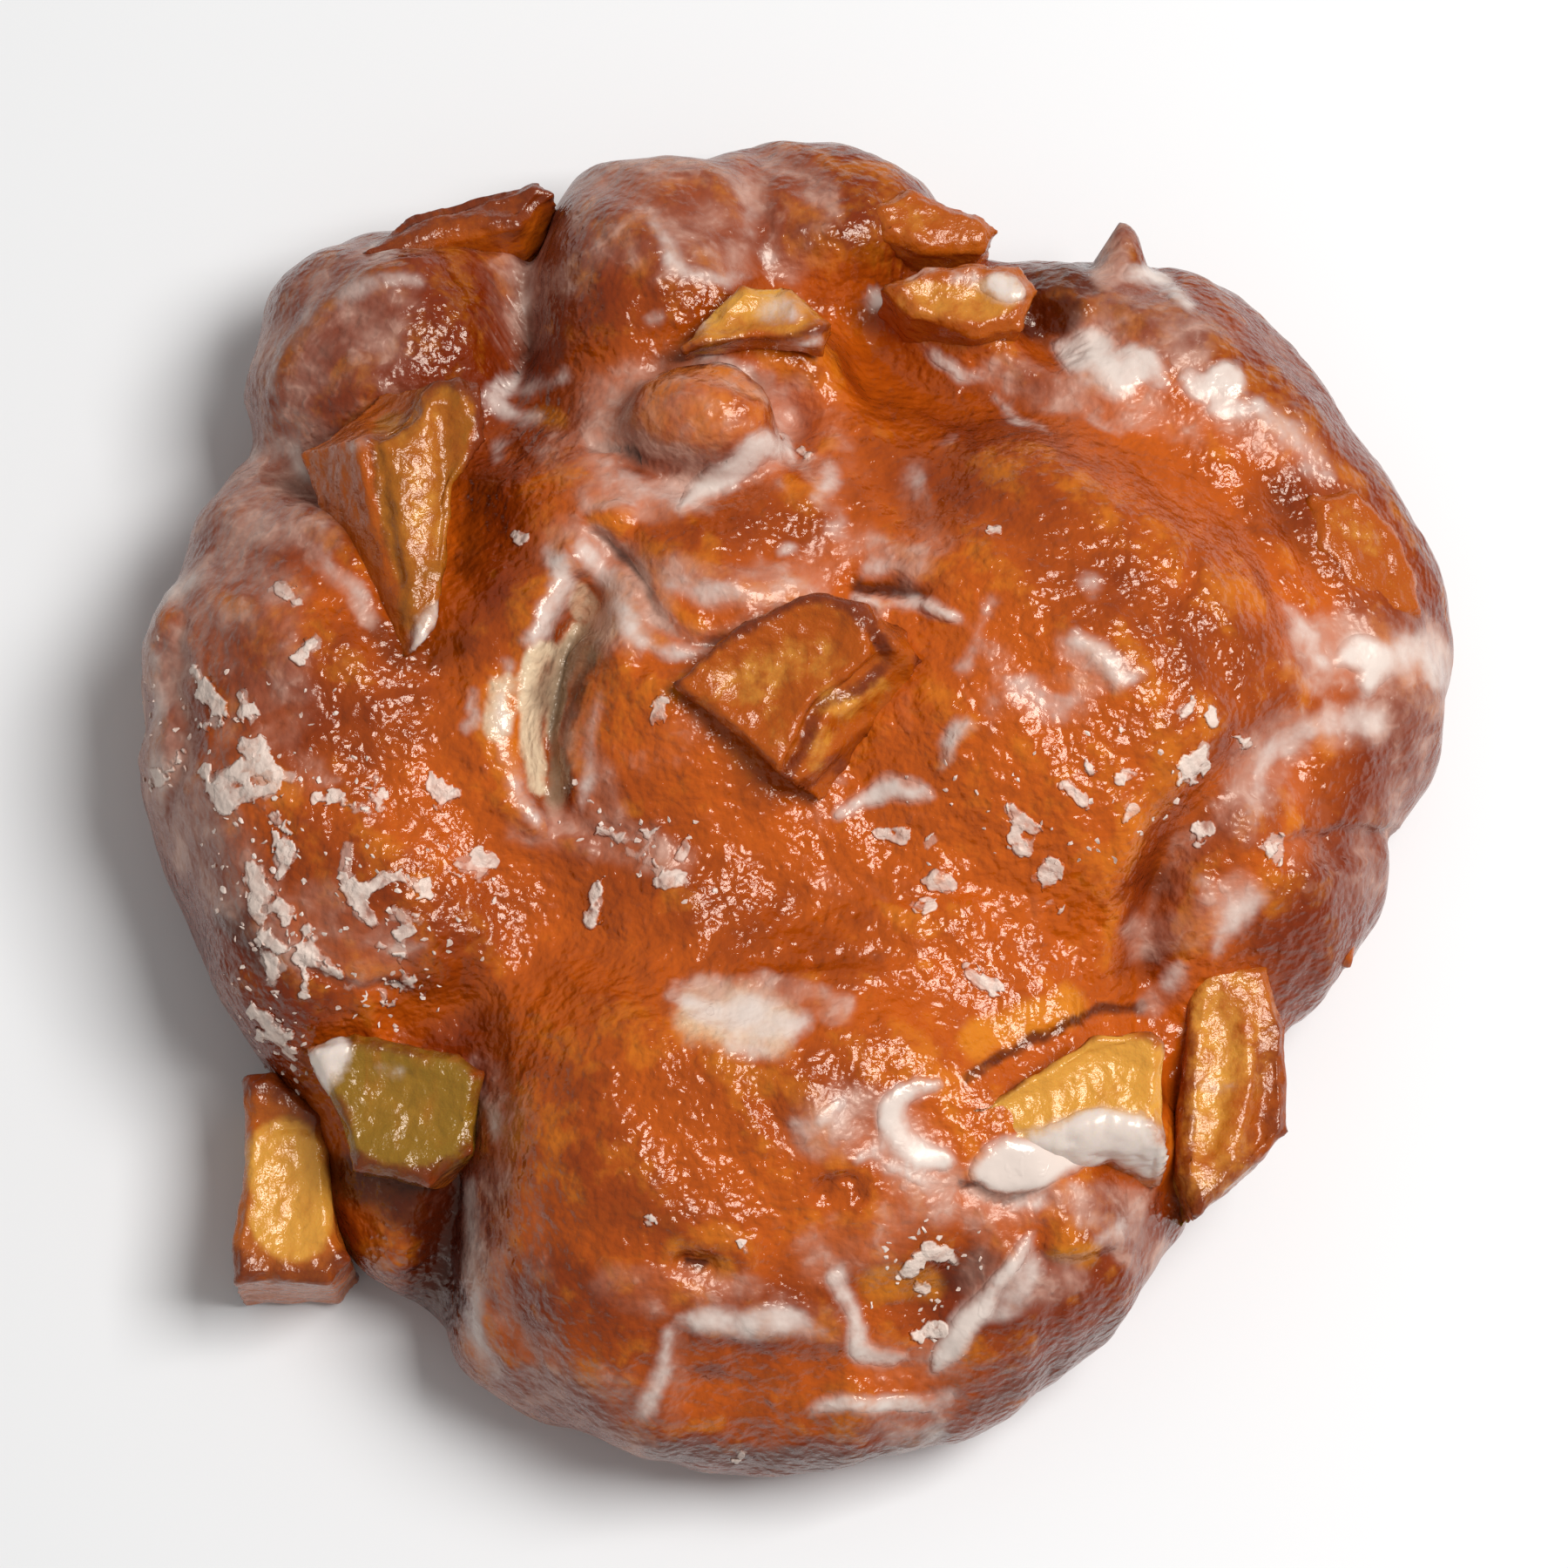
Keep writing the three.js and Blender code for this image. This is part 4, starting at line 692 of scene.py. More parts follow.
class Lattice:
    """Smooth noise from -1 to 1, from random numbers on a cubic lattice."""

    SIDE = 32

    def __init__(self, seed):
        numbers = np.random.default_rng(seed).uniform(-1, 1, (self.SIDE,) * 3)
        self.values = numbers.astype(np.float32)

    def at(self, points, size):
        """The noise at those points, with features of about that size."""
        scaled = np.asarray(points, np.float32) / size + 1000.0
        corner = np.floor(scaled).astype(np.int64)
        share = scaled - corner
        share = share * share * (3 - 2 * share)
        total = 0
        for step in np.ndindex(2, 2, 2):
            weight = np.prod(np.where(step, share, 1 - share), axis=1)
            cell = (corner + step) % self.SIDE
            total = total + weight * self.values[cell[:, 0], cell[:, 1], cell[:, 2]]
        return total

    def layers(self, points, size, count):
        """That many layers of it, each half as large and half as strong as the one before."""
        return sum(self.at(points + 17.3 * n, size / 2**n) / 2**n for n in range(count)) / 1.6


def cells(points, size, seed, side=16):
    """The distances to the nearest and second nearest of scattered seeds, and a number of the
    nearest's own from 0 to 1."""
    grid = np.random.default_rng(seed).uniform(0, 1, (side, side, side, 4)).astype(np.float32)
    scaled = points / size + 500.0
    corner = np.floor(scaled).astype(np.int64)
    nearest = np.full(len(points), 9.0)
    second = np.full(len(points), 9.0)
    number = np.zeros(len(points))
    for step in np.ndindex(3, 3, 3):
        cell = corner + np.array(step) - 1
        own = grid[tuple((cell % side).T)]
        away = np.linalg.norm(cell + own[:, :3] - scaled, axis=1)
        closer = away < nearest
        second = np.where(closer, nearest, np.minimum(second, away))
        number = np.where(closer, own[:, 3], number)
        nearest = np.minimum(nearest, away)
    return nearest * size, second * size, number


def curve_steps(points, gap):
    """Points about `gap` apart on the smooth curve through the given ones."""
    path = np.array(points, float)
    if len(path) == 1:
        return path
    ends = np.vstack([2 * path[0] - path[1], path, 2 * path[-1] - path[-2]])
    parts = []
    for a, b, c, d in zip(ends, ends[1:], ends[2:], ends[3:]):
        count = max(int(np.linalg.norm((c - b)[:2]) / gap) + 1, 2)
        t = np.linspace(0, 1, count, endpoint=False)[:, None]
        square, cube = 2 * a - 5 * b + 4 * c - d, 3 * b - a - 3 * c + d
        parts.append(0.5 * (2 * b + (c - a) * t + square * t**2 + cube * t**3))
    return np.vstack([*parts, path[-1:]])


def crease_field():
    """The depth of the creases from above, on a square grid."""
    axis = np.arange(-MAP_HALF, MAP_HALF + MAP_STEP, MAP_STEP)
    field = np.zeros((len(axis), len(axis)), np.float32)
    for _, points, widths, depth in CREASES:
        start, through, end = (np.array(point, float) for point in points)
        bend = 2 * through - (start + end) / 2
        count = int(np.linalg.norm(end - start) / 0.5) + 3
        t = np.linspace(0, 1, count)[:, None]
        path = (1 - t) ** 2 * start + 2 * t * (1 - t) * bend + t**2 * end
        ahead = np.gradient(path, axis=0)
        strength = depth * np.sqrt(np.sin(math.pi * np.clip(t[:, 0], 0.06, 0.94)))
        reach = 3 * max(widths)
        low = np.searchsorted(axis, path.min(0) - reach)
        high = np.searchsorted(axis, path.max(0) + reach)
        x = axis[low[0] : high[0]][:, None, None]
        y = axis[low[1] : high[1]][None, :, None]
        across = np.hypot(x - path[:, 0], y - path[:, 1])
        near = across.argmin(2)
        beside = (x[..., 0] - path[near, 0]) * ahead[near, 1]
        beside = beside - (y[..., 0] - path[near, 1]) * ahead[near, 0]
        blend = smooth_step(beside / (np.linalg.norm(ahead[near], axis=-1) + 1e-6), -1, 1)
        width = widths[0] + (widths[1] - widths[0]) * blend
        depths = strength[near] * np.exp(-((across.min(2) / width) ** 2))
        field[low[0] : high[0], low[1] : high[1]] += depths
    return field


def read_field(field, x, y):
    """The field at those places, evenly between its grid points."""
    across = np.clip((x + MAP_HALF) / MAP_STEP, 0, field.shape[0] - 1.001)
    along = np.clip((y + MAP_HALF) / MAP_STEP, 0, field.shape[1] - 1.001)
    i, j = across.astype(int), along.astype(int)
    u, v = across - i, along - j
    return (
        field[i, j] * (1 - u) * (1 - v)
        + field[i + 1, j] * u * (1 - v)
        + field[i, j + 1] * (1 - u) * v
        + field[i + 1, j + 1] * u * v
    )


def lobe_distance(points):
    """The distance from the lobes' joined surface, less than 0 inside it."""
    total = None
    for _, centre, half, turn, blend in LOBES:
        x, y, z = (points - np.array(centre, np.float32)).T
        cos, sin = math.cos(math.radians(turn)), math.sin(math.radians(turn))
        half = np.array(half, np.float32)[:, None]
        parts = np.stack([x * cos + y * sin, y * cos - x * sin, z]) / half
        scaled = np.sqrt((parts**2).sum(0))
        steep = np.sqrt(((parts / half) ** 2).sum(0))
        here = scaled * (scaled - 1) / np.maximum(steep, 1e-6)
        if total is None:
            total = here
            continue
        share = np.clip(0.5 + 0.5 * (here - total) / blend, 0, 1)
        total = here + (total - here) * share - blend * share * (1 - share)
    return total


def wander(points):
    """A slow wander of the surface, which keeps the lobes from being true ellipsoids."""
    x, y, z = points.T
    broad = np.sin(0.29 * x + 0.17 * y + 0.6) * np.sin(0.25 * y - 0.21 * z + 1.9)
    short = np.sin(0.61 * x - 0.33 * z + 2.4) * np.sin(0.57 * y + 0.41 * x + 0.3)
    return 0.6 * broad + 0.2 * short


def dough_distance(points, field):
    """The distance from the dough's surface, with its creases and its flat foot."""
    exposed = np.clip((points[:, 2] - CREASE_FOOT) / CREASE_FADE, 0, 1)
    away = lobe_distance(points) + exposed * read_field(field, points[:, 0], points[:, 1])
    return np.maximum(away + wander(points), -points[:, 2])


def ring_rays(rings):
    """Where each ray of the ring net starts and heads."""
    counts = [max(6 * ring, 1) for ring in range(rings + 1)]
    ring = np.repeat(np.arange(rings + 1), counts)
    step = np.concatenate([np.arange(count) for count in counts])
    share, turn = ring / rings, math.pi * step / (3 * np.maximum(ring, 1))
    over = np.minimum(share / CORE_SHARE, 1)
    around = np.maximum((share - CORE_SHARE) / (1 - CORE_SHARE), 0)
    lean = np.radians(OVER_TOP * over**2 + (UNDERNEATH - OVER_TOP) * around)
    flat = np.stack([np.cos(turn), np.sin(turn)], 1)
    start = np.column_stack([CORE_RADIUS * over[:, None] * flat, np.full(len(ring), CORE_HEIGHT)])
    heading = np.column_stack([np.sin(lean)[:, None] * flat, np.cos(lean)])
    return start.astype(np.float32), heading.astype(np.float32)


def ring_faces(rings):
    """The ring net's triangles, with a last point that closes it underneath."""

    def point(ring, step):
        return np.where(ring > 0, 1 + 3 * ring * (ring - 1) + step % np.maximum(6 * ring, 1), 0)

    faces = []
    for ring in range(1, rings + 1):
        sector, index = (part.ravel() for part in np.indices((6, ring)))
        outer, inner = sector * ring + index, sector * (ring - 1) + index
        below, here = np.full(outer.shape, ring - 1), np.full(outer.shape, ring)
        start, end = point(below, inner), point(here, outer + 1)
        faces.append(np.stack([start, point(here, outer), end], 1))
        faces.append(np.stack([start, end, point(below, inner + 1)], 1)[index < ring - 1])
    step = np.arange(6 * rings)
    last = np.full(step.shape, rings)
    foot = np.full(step.shape, 1 + 3 * rings * (rings + 1))
    faces.append(np.stack([foot, point(last, step + 1), point(last, step)], 1))
    return np.vstack(faces)


def throw_rays(start, heading, field):
    """The last place where each ray leaves the dough."""
    reach = np.full(len(start), FAR_OUT, np.float32)
    last = reach.copy()
    out = np.ones(len(start), bool)
    for _ in range(RAY_STEPS):
        live = np.nonzero(out)[0]
        if not len(live):
            break
        away = dough_distance(start[live] + reach[live, None] * heading[live], field)
        inside = (away <= 0) | (reach[live] <= 0)
        out[live[inside]] = False
        moving = live[~inside]
        last[moving] = reach[moving]
        reach[moving] = np.maximum(reach[moving] - np.clip(0.7 * away[~inside], 0.35, 6), 0)
    low, high = reach, last
    for _ in range(RAY_HALVINGS):
        middle = (low + high) / 2
        outside = dough_distance(start + middle[:, None] * heading, field) > 0
        high = np.where(outside, middle, high)
        low = np.where(outside, low, middle)
    return start + low[:, None] * heading


def normals_of(points, faces):
    """Each point's normal, as the mean of its faces'."""
    a, b, c = (points[faces[:, corner]] for corner in range(3))
    face = np.cross(b - a, c - a)
    total = np.zeros((len(points), 3))
    for corner, axis in np.ndindex(3, 3):
        total[:, axis] += np.bincount(faces[:, corner], face[:, axis], len(points))
    return total / np.maximum(np.linalg.norm(total, axis=1, keepdims=True), 1e-12)


def edges_of(faces):
    """The edges of triangles: all their first edges, then the second and the third."""
    return np.vstack([faces[:, [0, 1]], faces[:, [1, 2]], faces[:, [2, 0]]])


def relaxed(points, faces, rounds):
    """The points, each drawn to the mean of its neighbours, that many times."""
    edges = edges_of(faces)
    a, b = np.vstack([edges, edges[:, ::-1]]).T
    count = np.maximum(np.bincount(a, minlength=len(points)), 1)[:, None]
    for _ in range(rounds):
        drawn = np.stack([np.bincount(a, points[b, axis], len(points)) for axis in range(3)], 1)
        points = 0.5 * points + 0.5 * drawn / count
    return points


# The camera's own directions, and where it is.
FORWARD = np.array([0, math.cos(math.radians(LOOK_DOWN)), -math.sin(math.radians(LOOK_DOWN))])
RIGHT = np.array([1.0, 0, 0])
UP = np.cross(RIGHT, FORWARD)
EYE = np.array(LOOK_AT) - LOOK_FROM * FORWARD


def seen(points):
    """Where points appear from the front and above, in millimetres from the middle of that view."""
    away = points - EYE
    return np.stack([away @ RIGHT, away @ UP], 1) / (away @ FORWARD)[:, None] * LOOK_FROM


def near_path(places, path, reach):
    """Which places are within reach of the box around a path."""
    return np.nonzero(((places > path.min(0) - reach) & (places < path.max(0) + reach)).all(1))[0]


def strokes(places, rows, soft):
    """How strongly strokes cover places, from 0 to 1. They fade over `soft` of their width."""
    total = np.zeros(len(places))
    for _, points, width, strength in rows:
        path = curve_steps(points, 0.5)
        near = near_path(places, path, 2 * width)
        if not len(near):
            continue
        away = np.linalg.norm(places[near, None] - path, axis=2).min(1)
        cover = strength * smooth_step(width * (1 + soft) - away, 0, 2 * width * soft)
        total[near] = np.maximum(total[near], cover)
    return total


def cuts(places, rows):
    """How deep marks cut in at places, in millimetres. Where they raise a ridge, it is negative."""
    full = [(depth, [(name, path, width, 1)]) for name, path, width, depth in rows]
    return sum(depth * strokes(places, row, 0.95) for depth, row in full)


def coverage(places, rows):
    """How far inside runs of icing places are, in millimetres, with its thickness and whiteness.
    Runs that meet flow together."""
    weight = np.full(len(places), 1e-6)
    thick, white = np.zeros(len(places)), np.zeros(len(places))
    for _, points, depth, whiteness in rows:
        path = curve_steps(points, 0.3)
        line, half = path[:, :2], path[:, 2]
        near = near_path(places, line, 3.5)
        if not len(near):
            continue
        here = (half - np.linalg.norm(places[near, None] - line, axis=2)).max(1)
        share = np.exp(RUN_TOGETHER * here)
        weight[near] += share
        thick[near] += share * depth
        white[near] += share * whiteness
    return np.log(weight) / RUN_TOGETHER, thick / weight, white / weight


ROUGH = Lattice(11)
PATCHY = Lattice(23)
GRAINY = Lattice(37)


def mottled(points, places, reach):
    """Places moved about a little, so that what is painted there has uneven edges."""
    shift = np.stack([PATCHY.layers(points + 40.0 * n, 2.4, 3) for n in (1, 2)], 1)
    return places + reach * shift


class Surface:
    """Points in millimetres, with their normals, triangles and painted values."""

    def __init__(self, points, faces):
        self.points, self.faces = points, faces
        self.normals = normals_of(points, faces)
        self.paint = {}

    def moved(self, height):
        """Moves each point out along its normal."""
        self.points = self.points + self.normals * height[:, None]

    def rest_above(self, low):
        """Keeps all points at or above a height."""
        self.points[:, 2] = np.maximum(self.points[:, 2], low)
        self.normals = normals_of(self.points, self.faces)

    def facing(self):
        """How squarely each point faces the camera, from -1 to 1."""
        return -(self.normals @ FORWARD)


def paint_runs(surface, rows, keys, reach):
    """Paints on a surface how far inside the runs it is, and how white and thick they are."""
    places = mottled(surface.points, seen(surface.points), reach)
    inside, thick, white = coverage(places, rows)
    hidden = surface.facing() < 0.02
    for key, values in zip(keys, (np.clip(inside, -3, 3), white, thick)):
        surface.paint[key] = np.where(hidden, -3.0 if key == keys[0] else 0.0, values)


def placed(name, data):
    """A new object in the scene."""
    piece = bpy.data.objects.new(name, data)
    bpy.context.scene.collection.objects.link(piece)
    return piece


def applied(piece):
    """The mesh of a piece with its modifiers applied. The piece itself is removed."""
    shape = piece.evaluated_get(bpy.context.evaluated_depsgraph_get())
    mesh = bpy.data.meshes.new_from_object(shape)
    bpy.data.objects.remove(piece)
    return mesh


def make_mesh(name, points, faces, paint=(), smooth=True):
    """A new mesh object from points in millimetres."""
    mesh = bpy.data.meshes.new(name)
    mesh.vertices.add(len(points))
    mesh.vertices.foreach_set("co", (np.asarray(points, np.float32) * MM).ravel())
    mesh.loops.add(3 * len(faces))
    mesh.loops.foreach_set("vertex_index", np.asarray(faces, np.int32).ravel())
    mesh.polygons.add(len(faces))
    mesh.polygons.foreach_set("loop_start", np.arange(0, 3 * len(faces), 3, dtype=np.int32))
    mesh.polygons.foreach_set("use_smooth", np.full(len(faces), smooth))
    for key, values in dict(paint).items():
        layer = mesh.attributes.new(key, "FLOAT", "POINT")
        layer.data.foreach_set("value", np.asarray(values, np.float32))
    mesh.update(calc_edges=True)
    mesh.validate()
    return placed(name, mesh)


def dough_surface(rings):
    """The dough, with its relief and what is painted on it."""
    field = crease_field()
    points = throw_rays(*ring_rays(rings), field).astype(float)
    points[points[:, 2] < FLAT_BELOW, 2] = 0
    points = np.vstack([points, [0, 0, 0]])
    dough = Surface(points, ring_faces(rings))
    flat = points[:, 2] < FLAT_BELOW
    lifted = smooth_step(points[:, 2], 0.3, 3)

    # What isn't seen from the front and above is given patches of film of its own.
    shown = smooth_step(dough.facing(), -0.12, 0.1)
    places = mottled(points, seen(points), 0.8)
    patches = smooth_step(PATCHY.layers(points, 14, 3), -0.1, 0.35)
    film = shown * strokes(places, FILM, 0.5) + (1 - shown) * 0.5 * patches

    height = SWELL[0] * ROUGH.layers(points, SWELL[1], 2)
    crinkled = 1 - np.abs(ROUGH.layers(points, CRINKLE[1], 2))
    height += (CRINKLE[0] - 0.06 * film) * (crinkled - 0.75)
    height += (GRAIN[0] - 0.1 * film) * GRAINY.layers(points, GRAIN[1], 2)
    bubble, _, number = cells(points, BLISTER[1], 5)
    height += BLISTER[0] * smooth_step(1.5 - bubble, 0, 1.3) * (number > 0.8)
    pits, _, number = cells(points + 60, PIT[1], 7)
    height -= PIT[0] * smooth_step(0.95 - pits, 0, 0.7) * (number > 0.8) * (1 - 0.7 * film)
    height -= shown * cuts(places, MARKS)
    dough.moved(np.where(flat, 0, height * lifted))
    dough.rest_above(0)

    cavity = ((relaxed(dough.points, dough.faces, 30) - dough.points) * dough.normals).sum(1)
    # Painted shade: the crust darkened in the hollows of its surface.
    hollow = smooth_step(cavity, 0.15, 0.8)
    # Painted shade: the crust darker where its sides slope steeply away from the light above.
    steep = smooth_step(0.75 - dough.normals[:, 2], 0, 0.5)
    spots = (1 - shown) * smooth_step(ROUGH.at(points, 12), 0, 0.6)
    painted = {
        "film": film - 0.4 * np.clip(-cavity, 0, 1),
        "raw": shown * strokes(places, RAW, 0.5),
        "grey": shown * strokes(places, GREY, 0.6),
        # painted shade in creases, cracks, hollows and under the apple pieces
        "dark": shown * strokes(places, PAINTED_SHADE, 0.6) + 0.35 * hollow,
        "gold": shown * strokes(places, GOLD, 0.6) + 0.6 * spots,
        "deep": shown * strokes(places, FRIED_AND_SHADED, 0.9) + 0.6 * steep,
        "raised": smooth_step(-cavity, 0.02, 0.3),
        # Painted shade: darker towards the table
        "foot": 1 - smooth_step(points[:, 2], 0.5, 5),
        "crumbs": shown * strokes(places, CRUMBS, 0.9),
    }
    dough.paint = {key: np.clip(values, 0, 1) for key, values in painted.items()}
    paint_runs(dough, ICING, ("icing", "white", "icing_depth"), 0.5)
    paint_runs(dough, FLAKES, ("flake", "dry", "flake_depth"), 0.35)
    return dough


def apple_surface(name, voxel):
    """A piece of apple, from its solid: shrunken flesh between browned, uneven arrises."""
    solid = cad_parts[name]
    piece = placed(name + "_work", solid.data.copy())
    weld = piece.modifiers.new("weld", "WELD")
    weld.merge_threshold = 1e-6
    remesh = piece.modifiers.new("remesh", "REMESH")
    remesh.mode, remesh.voxel_size = "VOXEL", voxel * MM
    mesh = applied(piece)
    mesh.calc_loop_triangles()
    points = np.empty(3 * len(mesh.vertices), np.float32)
    mesh.vertices.foreach_get("co", points)
    faces = np.empty(3 * len(mesh.loop_triangles), np.int32)
    mesh.loop_triangles.foreach_get("vertices", faces)
    bpy.data.meshes.remove(mesh)
    points, faces = points.reshape(-1, 3).astype(float) / MM, faces.reshape(-1, 3)

    apple = Surface(relaxed(points, faces, 2), faces)
    soft = relaxed(apple.points, faces, 40)
    arris = ((apple.points - soft) * apple.normals).sum(1)
    rim = smooth_step(arris, 0.25, 0.75)
    height = -SHRUNK * (1 - rim) + 0.12
    height += APPLE_BUMP[0] * ROUGH.layers(apple.points, APPLE_BUMP[1], 2)
    height += APPLE_GRAIN[0] * ROUGH.layers(apple.points, APPLE_GRAIN[1], 2)
    fibres = GRAINY.layers(apple.points * np.array([1, 0.35, 1]), FIBRES[1], 2)
    height += FIBRES[0] * fibres * (1 - rim)
    shown = smooth_step(apple.facing(), -0.05, 0.2)
    places = mottled(apple.points, seen(apple.points), 0.3)
    height -= shown * cuts(places, APPLE_MARKS)
    apple.moved(height)
    apple.rest_above(FLAT_BELOW)
    shown = smooth_step(apple.facing(), -0.05, 0.2)
    places = mottled(apple.points, seen(apple.points), 0.4)
    flesh = shown * strokes(places, FLESH, 0.35)
    flesh += (1 - shown) * smooth_step(PATCHY.at(apple.points, 7), -0.1, 0.5)
    caramel, green = APPLES[name]
    browned = shown * strokes(places, BROWNED, 0.7) + (1 - shown) * 0.4
    browned += 0.25 * smooth_step(arris, 0.1, 0.5)
    browned -= 0.6 * np.clip(flesh, 0, 1) * smooth_step(-arris, 0, 0.4)
    apple.paint = {
        "browned": browned,
        "gilt": shown * strokes(places, GILT, 0.7),
        "rim": rim,
        "flesh": np.clip(flesh * (1 - 0.8 * rim), 0, 1),
        "caramel": np.full(len(points), caramel),
        "green": np.full(len(points), green),
        "fibres": 0.5 + 0.5 * fibres,
    }
    rows = [row for row in APPLE_ICING if row[0] == name]
    paint_runs(apple, rows, ("icing", "white", "icing_depth"), 0.35)
    return apple


def halved(points, normals, faces, values):
    """A surface with every triangle cut into four. `values` are carried over too."""
    edges, count = np.sort(edges_of(faces), axis=1).astype(np.int64), len(points)
    keys, where = np.unique(edges[:, 0] * count + edges[:, 1], return_inverse=True)
    a, b = keys // count, keys % count
    middles = (where.reshape(3, -1) + count).T
    new = [np.vstack([item, (item[a] + item[b]) / 2]) for item in (points, normals, values)]
    new[1] /= np.linalg.norm(new[1], axis=1, keepdims=True)
    ab, bc, ca = middles.T
    p, q, r = faces.T
    parts = ((p, ab, ca), (ab, q, bc), (ca, bc, r), (ab, bc, ca))
    return (*new[:2], np.vstack([np.stack(part, 1) for part in parts]), new[2])


def picked(faces, keep, *items):
    """The faces whose points are all kept, renumbered, and the items of their points."""
    faces = faces[keep[faces].all(1)]
    used, index = np.unique(faces, return_inverse=True)
    return (index.reshape(-1, 3), *(item[used] for item in items))


def shell(points, normals, faces, top, root, paint):
    """A closed skin over a surface, along its normals, from `root` below it to `top` above it."""
    count = len(points)
    skin = np.vstack([points + normals * top[:, None], points - normals * root])
    a, b = edges_of(faces).astype(np.int64).T
    a, b = np.stack([a, b])[:, ~np.isin(a * count + b, b * count + a)]
    walls = [np.stack([b, a, a + count], 1), np.stack([b, a + count, b + count], 1)]
    paint = {key: np.concatenate([part, part]) for key, part in paint.items()}
    return skin, np.vstack([faces, faces[:, ::-1] + count, *walls]), paint


def refined(surface, keep, times):
    """The kept part of a surface, finer, with what is painted on it."""
    values = np.stack(list(surface.paint.values()), 1)
    faces, *items = picked(surface.faces, keep, surface.points, surface.normals, values)
    points, normals, values = items
    for _ in range(times):
        points, normals, faces, values = halved(points, normals, faces, values)
    return points, normals, faces, dict(zip(surface.paint, values.T))


def icing_shell(surface):
    """The icing on a surface, as a closed skin with what is painted underneath it."""
    keep = surface.paint["icing"] > -1
    if not keep[surface.faces].all(1).any():
        return None
    points, normals, faces, paint = refined(surface, keep, 1)
    inside = paint["icing"] + 0.12 * GRAINY.layers(points, 1.4, 2)
    faces, points, normals, inside, *values = picked(
        faces, (inside > -0.4) & (paint["white"] > 0.5), points, normals, inside, *paint.values()
    )
    paint = dict(zip(paint, values))
    thick = 0.55 * paint["icing_depth"] * smooth_step(paint["white"], 0.5, 0.9)
    rise = np.clip(inside / (0.6 * thick + 1.2), 0, 1)
    swell = 1 + 0.35 * ROUGH.layers(points, 2.4, 2)
    top = np.where(inside > 0, thick * swell * np.sqrt(1 - (1 - rise) ** 2), 0.6 * inside) - 0.03
    return shell(points, normals, faces, top, ICING_ROOT, paint)


def flake_shell(surface):
    """The cracked glaze on a surface, as thin closed plates with what is painted underneath."""
    points, normals, faces, paint = refined(surface, surface.paint["flake"] > -1.1, 2)
    uneven = points + 0.6 * PATCHY.at(points, 1.1)[:, None]
    nearest, second, number = cells(uneven, PLATE_WIDTH, 3)
    jagged = 0.9 * (number - 0.5) + 0.5 * PATCHY.layers(points + 9, 1.3, 3)
    plate = np.minimum(paint["flake"] + jagged, 0.7 * (second - nearest) + 0.06)
    faces, points, normals, plate, number, *values = picked(
        faces, plate > -0.12, points, normals, plate, number, *paint.values()
    )
    paint = dict(zip(paint, values))
    edge = smooth_step(plate, -0.12, 0.1)
    thick = 0.7 * paint["flake_depth"] * (0.35 + 0.5 * number)
    top = np.where(edge > 0, 0.03 + thick * edge, 0.0)
    paint = {**paint, "plate": plate + 1, "number": number}
    return shell(points, normals, faces, top, FLAKE_ROOT, paint)


def joined(parts):
    """Several points, faces and painted values as one."""
    points, faces, total = [], [], 0
    for part_points, part_faces, _ in parts:
        points.append(part_points)
        faces.append(part_faces + total)
        total += len(part_points)
    paint = {key: np.concatenate([part[2][key] for part in parts]) for key in parts[0][2]}
    return np.vstack(points), np.vstack(faces), paint


class Socket:
    """A value or colour in a tree of nodes. Sums on it add nodes to the tree."""

    def __init__(self, nodes, output):
        self.nodes, self.output = nodes, output

    def maths(self, operation, *values):
        return self.nodes.node("ShaderNodeMath", {"operation": operation}, *values)

    def __add__(self, other):
        return self.maths("ADD", self, other)

    def __sub__(self, other):
        return self.maths("SUBTRACT", self, other)

    def __mul__(self, other):
        return self.maths("MULTIPLY", self, other)

    def __rsub__(self, other):
        return self.maths("SUBTRACT", other, self)

    __radd__ = __add__

    def within(self, low, high):
        """0 below `low` and 1 above `high`, softly between."""
        settings = {"interpolation_type": "SMOOTHSTEP"}
        return self.nodes.node("ShaderNodeMapRange", settings, self, low, high)


class Nodes:
    """A tree of nodes."""

    def __init__(self, tree):
        self.tree = tree

    def node(self, kind, settings, *values, out=0, **named):
        """A new node's output, with its inputs given by place or by name."""
        node = self.tree.nodes.new(kind)
        for key, value in settings.items():
            setattr(node, key, value)
        for key, value in [*enumerate(values), *named.items()]:
            socket = node.inputs[key if isinstance(key, int) else key.replace("_", " ")]
            if isinstance(value, Socket):
                self.tree.links.new(value.output, socket)
            elif value is not None:
                socket.default_value = value
        return Socket(self, node.outputs[out])

    def spread(self, cloud, reach):
        """A vector from minus to plus that reach, from a noise's colour."""
        settings = {"operation": "MULTIPLY_ADD"}
        return self.node("ShaderNodeVectorMath", settings, cloud, (2 * reach,) * 3, (-reach,) * 3)


